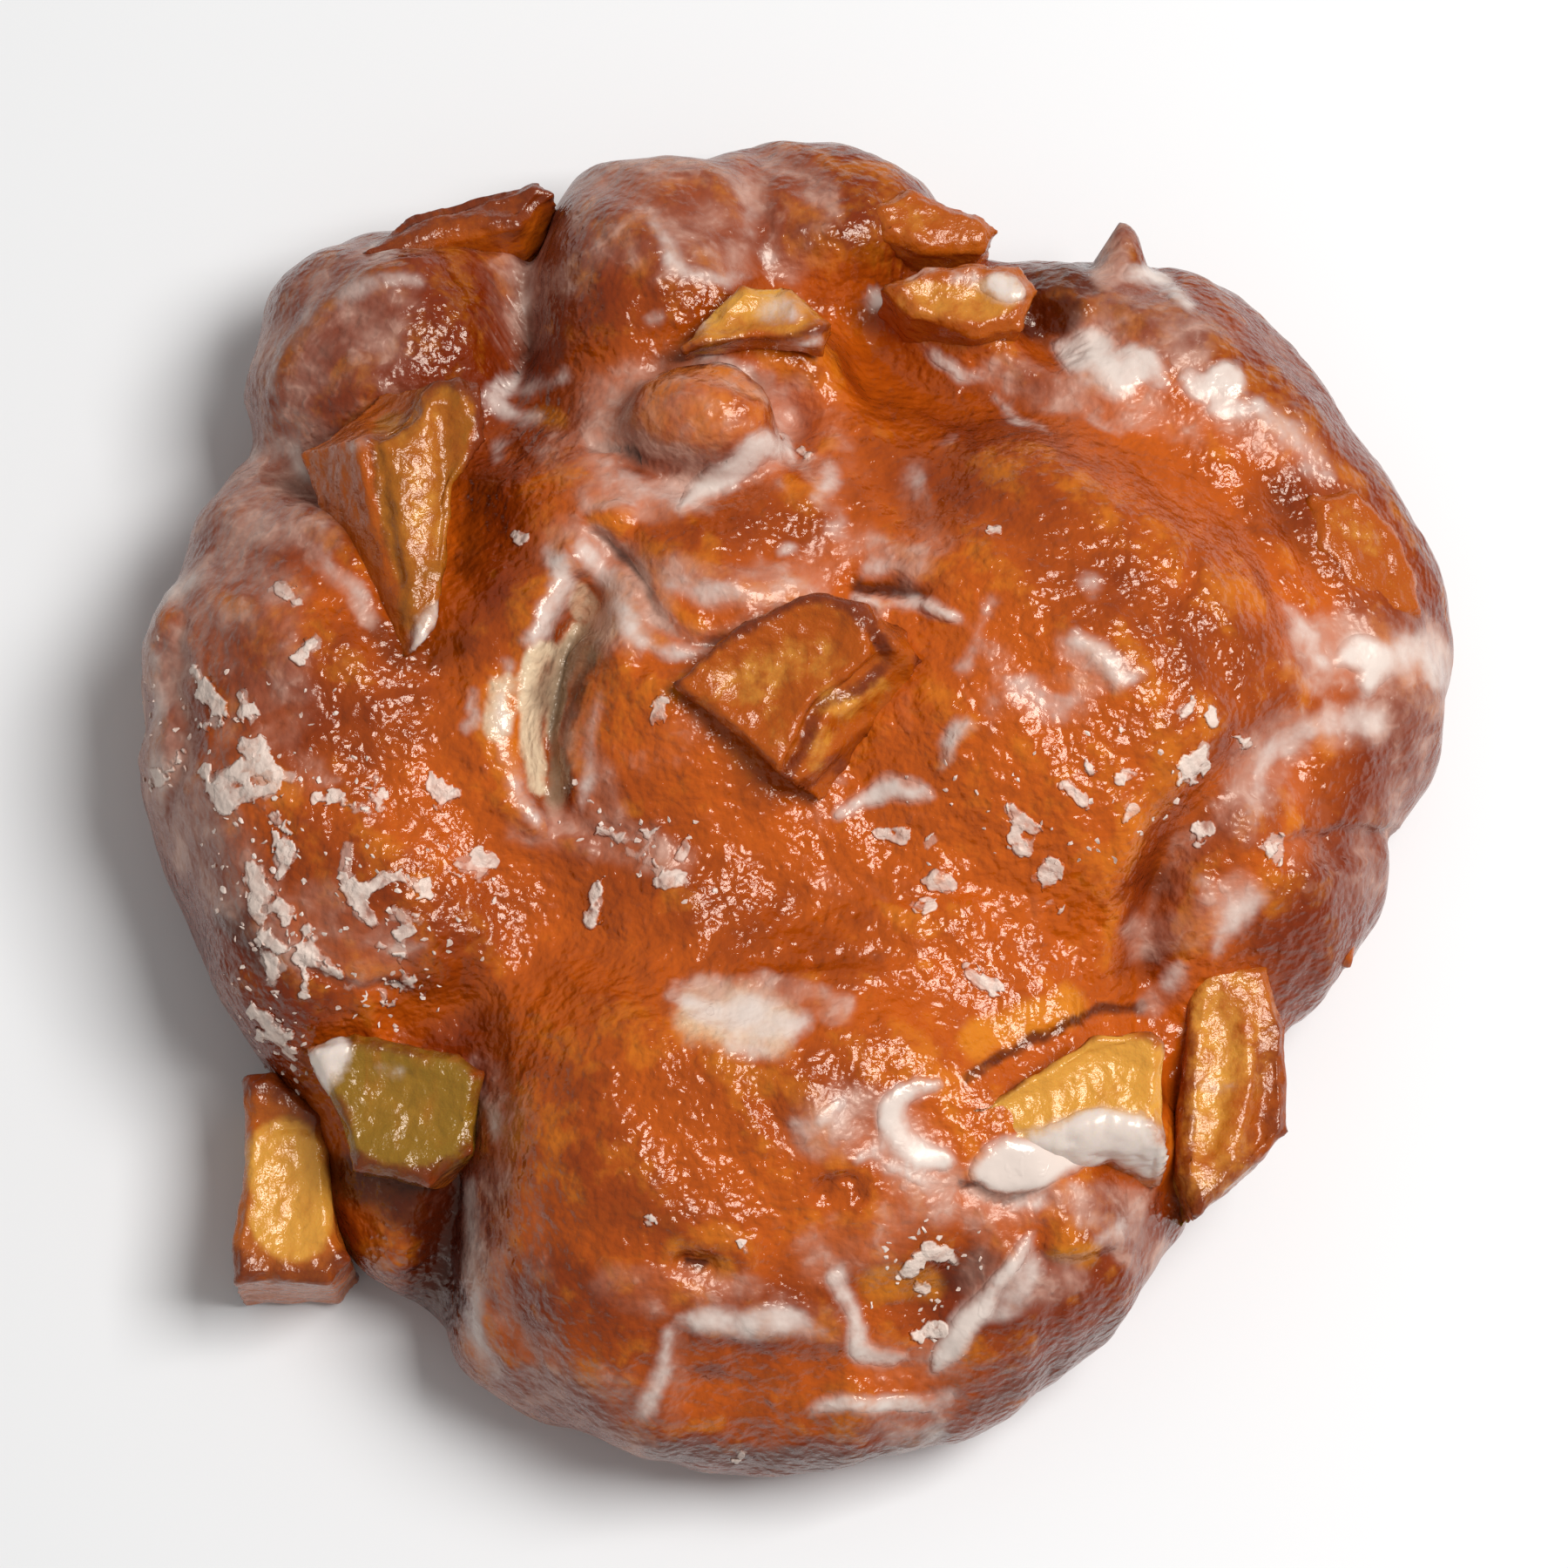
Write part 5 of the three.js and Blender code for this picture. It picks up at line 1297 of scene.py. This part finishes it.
class Scatter(Nodes):
    """Nodes that scatter crumbs over a surface, as thickly as "crumbs" is painted on it."""

    INPUTS = {
        "Surface": "Geometry",
        "Width": "Float",
        "Thickly": "Float",
        "Seed": "Int",
        "Finish": "Material",
    }

    def __init__(self):
        super().__init__(bpy.data.node_groups.new("scattered_crumbs", "GeometryNodeTree"))
        face = self.tree.interface
        self.named = {
            name: face.new_socket(name, in_out="INPUT", socket_type="NodeSocket" + kind).identifier
            for name, kind in self.INPUTS.items()
        }
        face.new_socket("Crumbs", in_out="OUTPUT", socket_type="NodeSocketGeometry")
        group = self.node("NodeGroupInput", {}).output.node
        given = {name: Socket(self, group.outputs[name]) for name in self.INPUTS}

        painted = self.node("GeometryNodeInputNamedAttribute", {"data_type": "FLOAT"}, "crumbs")
        spots = self.node(
            "GeometryNodeDistributePointsOnFaces",
            {},
            Mesh=given["Surface"],
            Density=painted * given["Thickly"],
            Seed=given["Seed"],
        ).output.node
        vectors = {"data_type": "FLOAT_VECTOR"}
        scaled = {"operation": "SCALE"}
        size = self.node("FunctionNodeRandomValue", vectors, (0.2, 0.2, 0.1), (1, 1, 0.35))
        crumbs = self.node(
            "GeometryNodeInstanceOnPoints",
            {},
            Points=Socket(self, spots.outputs["Points"]),
            Instance=self.node("GeometryNodeMeshIcoSphere", {}, Radius=0.5, Subdivisions=1),
            Rotation=Socket(self, spots.outputs["Rotation"]),
            Scale=self.node("ShaderNodeVectorMath", scaled, size, Scale=given["Width"]),
        )
        turn = self.node("FunctionNodeRandomValue", vectors, (-0.5, -0.5, -3.1), (0.5, 0.5, 3.1))
        crumbs = self.node("GeometryNodeRotateInstances", {}, Instances=crumbs, Rotation=turn)
        crumbs = self.node("GeometryNodeRealizeInstances", {}, Geometry=crumbs)
        cloud = self.node("ShaderNodeTexNoise", {}, Scale=1 / CRUMB_CLOUD, out="Color")
        shift = self.spread(cloud, CRUMB_SHIFT)
        crumbs = self.node("GeometryNodeSetPosition", {}, Geometry=crumbs, Offset=shift)
        crumbs = self.node("GeometryNodeSetMaterial", {}, Geometry=crumbs, Material=given["Finish"])
        end = self.tree.nodes.new("NodeGroupOutput")
        self.tree.links.new(crumbs.output, end.inputs[0])

    def made(self, name, surface, **values):
        """The crumbs on a surface, as a plain mesh. The surface itself is removed."""
        modifier = surface.modifiers.new("crumbs", "NODES")
        modifier.node_group = self.tree
        for key, value in values.items():
            modifier[self.named[key]] = value
        mesh = applied(surface)
        if "crumbs" in mesh.attributes:
            mesh.attributes.remove(mesh.attributes["crumbs"])
        return placed(name, mesh)


class Finish(Nodes):
    """A material made of nodes."""

    def __init__(self, name):
        self.material = bpy.data.materials.new(name)
        self.material.use_nodes = True
        super().__init__(self.material.node_tree)
        self.tree.nodes.clear()
        self.place = self.node("ShaderNodeTexCoord", {}, out="Object")

    def noise(self, size, detail=2.0, rough=0.5, warp=0.0):
        """Noise from 0 to 1, with features of about that many millimetres."""
        return self.node(
            "ShaderNodeTexNoise",
            {},
            Vector=self.place,
            Scale=1000 / size,
            Detail=detail,
            Roughness=rough,
            Distortion=warp,
        )

    def painted(self, key):
        """What is painted on the mesh under that name."""
        return self.node("ShaderNodeAttribute", {"attribute_name": key}, out="Fac")

    def mix(self, share, low, high):
        """Between two colours."""
        node = self.tree.nodes.new("ShaderNodeMix")
        node.data_type = "RGBA"
        for index, value in ((0, share), (6, low), (7, high)):
            if isinstance(value, Socket):
                self.tree.links.new(value.output, node.inputs[index])
            else:
                node.inputs[index].default_value = value
        return Socket(self, node.outputs[2])

    def grains(self, size, uneven):
        """How far from the middles of grains of about that many millimetres, from 0 to 1. They are
        moved about by up to that share of their size."""
        where = {"Vector": self.place, "Scale": 500 / size}
        cloud = self.node("ShaderNodeTexNoise", {}, out="Color", **where)
        shift = self.spread(cloud, uneven * size * MM)
        place = self.node("ShaderNodeVectorMath", {"operation": "ADD"}, self.place, shift)
        settings = {"feature": "F1"}
        return self.node("ShaderNodeTexVoronoi", settings, Vector=place, Scale=1000 / size)

    def bump(self, height):
        """A normal from a height in millimetres."""
        return self.node("ShaderNodeBump", {}, Strength=1.0, Distance=MM, Height=height)

    def surface(self, **inputs):
        """The finished surface, from its shader's own sockets."""
        shader = self.node("ShaderNodeBsdfPrincipled", {}, **inputs)
        output = self.tree.nodes.new("ShaderNodeOutputMaterial")
        self.tree.links.new(shader.output, output.inputs["Surface"])
        return self.material


def colour(code):
    """The light of a screen colour, such as "a84f1c"."""
    parts = [int(code[n : n + 2], 16) / 255 for n in (0, 2, 4)]
    return (*(p / 12.92 if p <= 0.04045 else ((p + 0.055) / 1.055) ** 2.4 for p in parts), 1.0)


def swatch(name, description, code):
    """A colour that can be changed in the panel."""
    looks = {"subtype": "COLOR", "size": 4, "min": 0, "max": 1}
    return bpy.props.FloatVectorProperty(
        name=name, description=description, default=colour(code), **looks
    )


class FritterSizes(bpy.types.PropertyGroup):
    """Sizes of the fritter's detail."""

    rings: bpy.props.IntProperty(
        name="Rings",
        description="Rings of points over the dough, from its top to its foot",
        default=172,
    )
    voxel: bpy.props.FloatProperty(
        name="Apple detail",
        description="Spacing of the apple's mesh, in millimetres",
        default=0.42,
    )
    crumb: bpy.props.FloatProperty(
        name="Crumb size",
        description="Width of a large crumb of glaze",
        default=0.0009,
        subtype="DISTANCE",
        unit="LENGTH",
    )
    crumbs: bpy.props.FloatProperty(
        name="Crumbs",
        description="Crumbs of glaze on a square metre where they lie thickest",
        default=450000.0,
    )


class FritterColours(bpy.types.PropertyGroup):
    """Colours of the crust, the icing and the apple."""

    crust: swatch("Crust", "Fried crust", "c0560c")
    # Crust that has fried longer; also the colour of painted shade on sloping sides and near the
    # table.
    deep_crust_and_shade: swatch("Deep crust", "Crust that has fried longer", "742604")
    # Painted shade: the colour of the crust darkened in creases, hollows and under the apple
    # pieces.
    crease_shade: swatch("Creases", "The darkest crust, in creases and hollows", "431203")
    gold: swatch("Gold", "Crust that has fried least", "de8a20")
    raw: swatch("Crumb", "Pale dough inside a crevice", "dcc2a0")
    grey: swatch("Shaded crumb", "Moist dough deep in a crevice", "93785f")
    film: swatch("Film", "Thin glaze over crust", "c79c8a")
    icing: swatch("Icing", "Thick white icing", "dccbc0")
    flake: swatch("Flakes", "Dry cracked glaze", "e2cfc2")
    flesh: swatch("Flesh", "Cooked apple", "d6963a")
    caramel: swatch("Caramel", "Caramelised apple", "a84c04")
    green: swatch("Green flesh", "Apple that is less cooked", "8a6418")
    skin: swatch("Skin", "The browned outside of the apple", "ac5818")
    arris: swatch("Arrises", "The dark edges of the apple", "6a260c")
    floor: swatch("Floor", "The plain pale floor", "e8e8e8")


def iced(m, c, base, middle, fine):
    """A colour with icing over it, and how thick the icing is there."""
    white = m.painted("white")
    inside = m.painted("icing") + (fine - 0.5) * 0.2 + (middle - 0.5) * 1.4
    edge = (inside * 0.7 + 0.36).within(0, 1)
    cloud = (white * 0.95 + (middle - 0.5) * 0.9 + inside * 0.14 - 0.1).within(0, 1)
    return m.mix(edge * cloud, base, c.icing), edge * white


def crust_finish(c):
    """Fried crust, with the film of glaze, the raw crumb and the shade that is painted into its
    creases, hollows and sloping sides, and the icing and cracked glaze that lie on it."""
    m = Finish("glazed_crust")
    # The crust, from gold to dark, with painted shade in its creases, on its sloping sides and near
    # the table, and the pale dough in its crevices
    broad, middle, fine = m.noise(12, 2), m.noise(3.4, 3, 0.55), m.noise(0.9, 3, 0.6)
    keys = ("film", "raw", "grey", "dark", "gold", "raised", "deep")
    film, raw, grey, dark, gold, raised, deep = (m.painted(key) for key in keys)
    # Deeper tone at random and where fried longer, with painted shade on sloping sides and outer
    # lobes
    browned = (broad * 0.6 + middle * 0.6 + deep * 0.9).within(0.35, 1.45)
    base = m.mix(browned, c.crust, c.deep_crust_and_shade)
    golden = (gold + (middle - 0.5) * 0.8 + (broad - 0.5) * 0.8).within(0.35, 1.0)
    base = m.mix(golden * 0.7, base, c.gold)
    base = m.mix((fine + (middle - 0.5) * 0.8).within(0.5, 0.85) * 0.2, base, c.deep_crust_and_shade)
    # Lighter gold on raised bumps and in random patches
    raised_and_mottled = raised * 0.4 + (0.5 - middle) * 1.2 + (0.5 - fine) * 0.6 - deep * 0.2
    base = m.mix(raised_and_mottled.within(0.1, 0.6) * 0.3, base, c.gold)
    # Painted shade in creases, hollows and under the apple pieces
    base = m.mix((dark + (fine - 0.5) * 0.2).within(0.05, 0.95) * 0.9, base, c.crease_shade)
    # Painted shade: darker towards the table
    base = m.mix(m.painted("foot") * 0.5, base, c.deep_crust_and_shade)
    base = m.mix((raw + (fine - 0.5) * 0.3).within(0.15, 0.8), base, c.raw)
    base = m.mix((grey + (middle - 0.5) * 0.5).within(0.1, 0.9) * 0.9, base, c.grey)
    # The milky film of thin glaze
    cloudy, wisps, facets = m.noise(4, 3, 0.5, 0.6), m.noise(1.6, 2, 0.5, 0.5), m.noise(1.2, 1)
    veil = (film + (cloudy - 0.5) * 0.9).within(0.1, 1.15)
    milky = (film * 0.4 + cloudy + (wisps - 0.5) * 0.4).within(0.6, 1.15)
    dabs = (wisps + (cloudy - 0.5) * 0.6 + film * 0.05).within(0.58, 0.78)
    haze = veil * 0.38 + milky * veil * 0.3 + milky * 0.05 + dabs * 0.1
    base = m.mix(haze.within(0, 1), base, c.film)
    # Cracked glaze, icing and the plates of glaze that stand off the crust
    dry, crackle = m.painted("dry"), m.grains(1.5, 0.6)
    plated = (m.painted("flake") + crackle * 1.2 + (fine - 0.5) * 0.8 - 0.75).within(-0.1, 0.25)
    base = m.mix(plated * dry * 0.5, base, c.flake)
    base, edge = iced(m, c, base, middle, fine)
    plate = (m.painted("plate") + (fine - 0.5) * 0.3).within(0.95, 1.12)
    chalky = (dry * 0.7 + m.painted("number") * 0.6 + (wisps - 0.5) * 1.4 - 0.1).within(0, 1)
    base = m.mix(plate * chalky * 0.88, base, c.flake)
    # Smooth facets break up the gloss, except under icing and film
    relief = (fine - 0.5) * 0.15 - m.grains(1.3, 0.8) * 0.12 + (facets - 0.5) * 0.38
    relief = relief * (1 - edge * 0.9) * (1 - veil * 0.6)
    relief = relief + (middle - 0.5) * 0.5 * (1 - edge * 0.8) + plated * 0.06 + dabs * 0.04
    return m.surface(
        Base_Color=base,
        Roughness=0.14 + veil * 0.22 + (wisps - 0.5) * 0.3 + plate * 0.3,
        Coat_Weight=edge * 0.1,
        Coat_Roughness=ICING_GLOSS,
        Specular_IOR_Level=0.5,
        Specular_Tint=WARM_GLINT,
        Normal=m.bump(relief),
    )


def crumb_finish(c):
    """Dry crumbs of glaze."""
    m = Finish("glaze_crumbs")
    base = m.mix(m.noise(1.2, 2).within(0.35, 0.65) * 0.6, c.flake, c.film)
    return m.surface(Base_Color=base, Roughness=0.5, Specular_IOR_Level=0.4)


def apple_finish(c):
    """Cooked apple: moist flesh with fibres, browned skin, dark arrises and icing run over it."""
    m = Finish("cooked_apple")
    broad, middle = m.noise(6, 2), m.noise(1.8, 4, 0.6)
    fine, facets = m.noise(0.5, 3), m.noise(1.5, 1)
    keys = ("rim", "flesh", "caramel", "green", "fibres", "gilt")
    rim, flesh, caramel, green, fibres, gilt = (m.painted(key) for key in keys)
    cooked = caramel * 1.05 - gilt * 0.6 + (broad - 0.5) * 0.8 + (middle - 0.5) * 1.3
    meat = m.mix(cooked.within(0, 1), c.flesh, c.caramel)
    meat = m.mix((green - gilt * 0.4 + (middle - 0.5) * 0.4).within(0.1, 1), meat, c.green)
    meat = m.mix(fibres.within(0.5, 0.9) * 0.35, meat, c.caramel)
    skin = m.mix((broad + caramel * 0.3 + (fine - 0.5) * 0.4).within(0.35, 0.9), c.skin, c.caramel)
    base = m.mix((flesh + (middle - 0.5) * 0.7).within(0.25, 0.8), skin, meat)
    burnt = m.painted("browned") * 0.95 + rim * 0.3 + (middle - 0.5) * 1.2 + (fine - 0.5) * 0.2
    base = m.mix(burnt.within(0.3, 1.2) * 0.9, base, c.arris)
    base, edge = iced(m, c, base, middle, fine)
    relief = (facets - 0.5) * 0.32 + (middle - 0.5) * 0.35 + fibres * 0.06
    return m.surface(
        Base_Color=base,
        Roughness=0.2 + (middle - 0.5) * 0.3,
        Specular_IOR_Level=0.55,
        Specular_Tint=WARM_GLINT,
        Subsurface_Weight=0.15,
        Subsurface_Radius=(0.003, 0.0016, 0.0006),
        Subsurface_Scale=1.0,
        Normal=m.bump(relief * (1 - edge * 0.85)),
    )


# The surfaces made so far, by the names of their solids.
MADE = {}


def finish_piece(piece, slot, material, *nodes):
    """Gives a piece its material, the nodes it stands for and the body it rides on. The slot is not
    used.
    """
    piece.data.materials.clear()
    piece.data.materials.append(material)
    if nodes:
        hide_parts(*nodes)
    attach(piece, BODY)


class FRITTER_OT_dough(bpy.types.Operator):
    """Makes the fried dough, with its creases, blisters and painted glaze"""

    bl_idname = "fritter.dough"
    bl_label = "Dough"

    def execute(self, context):
        scene = context.scene
        rings = scene.fritter_sizes.rings
        dough = dough_surface(rings)
        MADE["dough"] = dough
        piece = make_mesh("fritter_dough", dough.points, dough.faces, dough.paint)
        finish_piece(piece, "crust", crust_finish(scene.fritter_colours), "dough")
        return {"FINISHED"}


class FRITTER_OT_apples(bpy.types.Operator):
    """Makes the pieces of cooked apple"""

    bl_idname = "fritter.apples"
    bl_label = "Apple pieces"

    def execute(self, context):
        scene = context.scene
        material = apple_finish(scene.fritter_colours)
        for name in APPLES:
            apple = apple_surface(name, scene.fritter_sizes.voxel)
            MADE[name] = apple
            piece = make_mesh("cooked_" + name, apple.points, apple.faces, apple.paint)
            finish_piece(piece, "apple", material, name)
        return {"FINISHED"}


class FRITTER_OT_icing(bpy.types.Operator):
    """Makes the thick icing that has run over the dough and the apple"""

    bl_idname = "fritter.icing"
    bl_label = "Icing"

    def execute(self, context):
        piece = make_mesh("icing_on_dough", *icing_shell(MADE["dough"]))
        finish_piece(piece, "crust", bpy.data.materials["glazed_crust"])
        parts = [icing_shell(MADE[name]) for name in APPLES]
        piece = make_mesh("icing_on_apple", *joined([part for part in parts if part]))
        finish_piece(piece, "crust", bpy.data.materials["cooked_apple"])
        return {"FINISHED"}


class FRITTER_OT_flakes(bpy.types.Operator):
    """Makes the dry glaze that has cracked into plates"""

    bl_idname = "fritter.flakes"
    bl_label = "Cracked glaze"

    def execute(self, context):
        piece = make_mesh("cracked_glaze", *flake_shell(MADE["dough"]))
        finish_piece(piece, "crust", bpy.data.materials["glazed_crust"])
        return {"FINISHED"}


class FRITTER_OT_crumbs(bpy.types.Operator):
    """Scatters crumbs of glaze"""

    bl_idname = "fritter.crumbs"
    bl_label = "Crumbs of glaze"

    def execute(self, context):
        sizes = context.scene.fritter_sizes
        material = crumb_finish(context.scene.fritter_colours)
        dough = MADE["dough"]
        bare = make_mesh("bare_dough", dough.points, dough.faces, {"crumbs": dough.paint["crumbs"]})
        values = {"Width": sizes.crumb, "Thickly": sizes.crumbs, "Seed": CRUMB_SEED}
        piece = Scatter().made("crumbs_of_glaze", bare, Finish=material, **values)
        finish_piece(piece, "crust", material)
        return {"FINISHED"}


class FRITTER_OT_stage(bpy.types.Operator):
    """Makes the plain floor, the soft light and the camera"""

    bl_idname = "fritter.stage"
    bl_label = "Stage"

    def execute(self, context):
        scene = context.scene
        floor_colour = tuple(scene.fritter_colours.floor)
        material = Finish("plain_floor").surface(Base_Color=floor_colour, Roughness=0.6)
        corners = np.array([(-1, -1, 0), (1, -1, 0), (1, 1, 0), (-1, 1, 0)]) * FLOOR_HALF
        floor = make_mesh("plain_floor", corners, np.array([(0, 1, 2), (0, 2, 3)]), smooth=False)
        floor.data.materials.append(material)

        light = bpy.data.lights.new("window", "AREA")
        light.shape, light.size, light.energy = "SQUARE", WINDOW_WIDTH, WINDOW_POWER
        lamp = placed("window", light)
        lamp.location = WINDOW_AT
        ahead = Vector(WINDOW_AIM) - Vector(WINDOW_AT)
        lamp.rotation_euler = ahead.to_track_quat("-Z", "Y").to_euler()
        world = bpy.data.worlds.new("studio")
        world.use_nodes = True
        background = world.node_tree.nodes["Background"].inputs
        background["Color"].default_value = (1, 1, 1, 1)
        background["Strength"].default_value = ALL_ROUND
        scene.world = world
        scene.view_settings.view_transform = "Standard"

        camera = bpy.data.cameras.new("camera")
        camera.sensor_width = LENS_WIDTH
        camera.lens = LENS_WIDTH * LOOK_FROM / LOOK_WIDTH
        camera.clip_start, camera.clip_end = 0.01, 10
        eye = placed("camera", camera)
        eye.location = Vector(EYE) * MM
        eye.rotation_euler = Vector(FORWARD).to_track_quat("-Z", "Y").to_euler()
        scene.camera = eye
        return {"FINISHED"}


OPERATORS = (
    FRITTER_OT_dough,
    FRITTER_OT_apples,
    FRITTER_OT_icing,
    FRITTER_OT_flakes,
    FRITTER_OT_crumbs,
    FRITTER_OT_stage,
)


class FRITTER_PT_panel(bpy.types.Panel):
    """The fritter's pieces, in the order in which they are made"""

    bl_idname = "FRITTER_PT_panel"
    bl_label = "Apple fritter"
    bl_space_type = "VIEW_3D"
    bl_region_type = "UI"
    bl_category = "Fritter"

    def draw(self, context):
        for group in (context.scene.fritter_sizes, context.scene.fritter_colours):
            column = self.layout.column()
            for key in group.__annotations__:
                column.prop(group, key)
        for operator in OPERATORS:
            self.layout.operator(operator.bl_idname)


CLASSES = (FritterSizes, FritterColours, *OPERATORS, FRITTER_PT_panel)


def register():
    for item in CLASSES:
        bpy.utils.register_class(item)
    bpy.types.Scene.fritter_sizes = bpy.props.PointerProperty(type=FritterSizes)
    bpy.types.Scene.fritter_colours = bpy.props.PointerProperty(type=FritterColours)


def unregister():
    del bpy.types.Scene.fritter_colours
    del bpy.types.Scene.fritter_sizes
    for item in reversed(CLASSES):
        bpy.utils.unregister_class(item)


def main():
    register()
    bpy.ops.fritter.dough()
    bpy.ops.fritter.apples()
    bpy.ops.fritter.icing()
    bpy.ops.fritter.flakes()
    bpy.ops.fritter.crumbs()
    bpy.ops.fritter.stage()


if __name__ == "__main__":
    main()
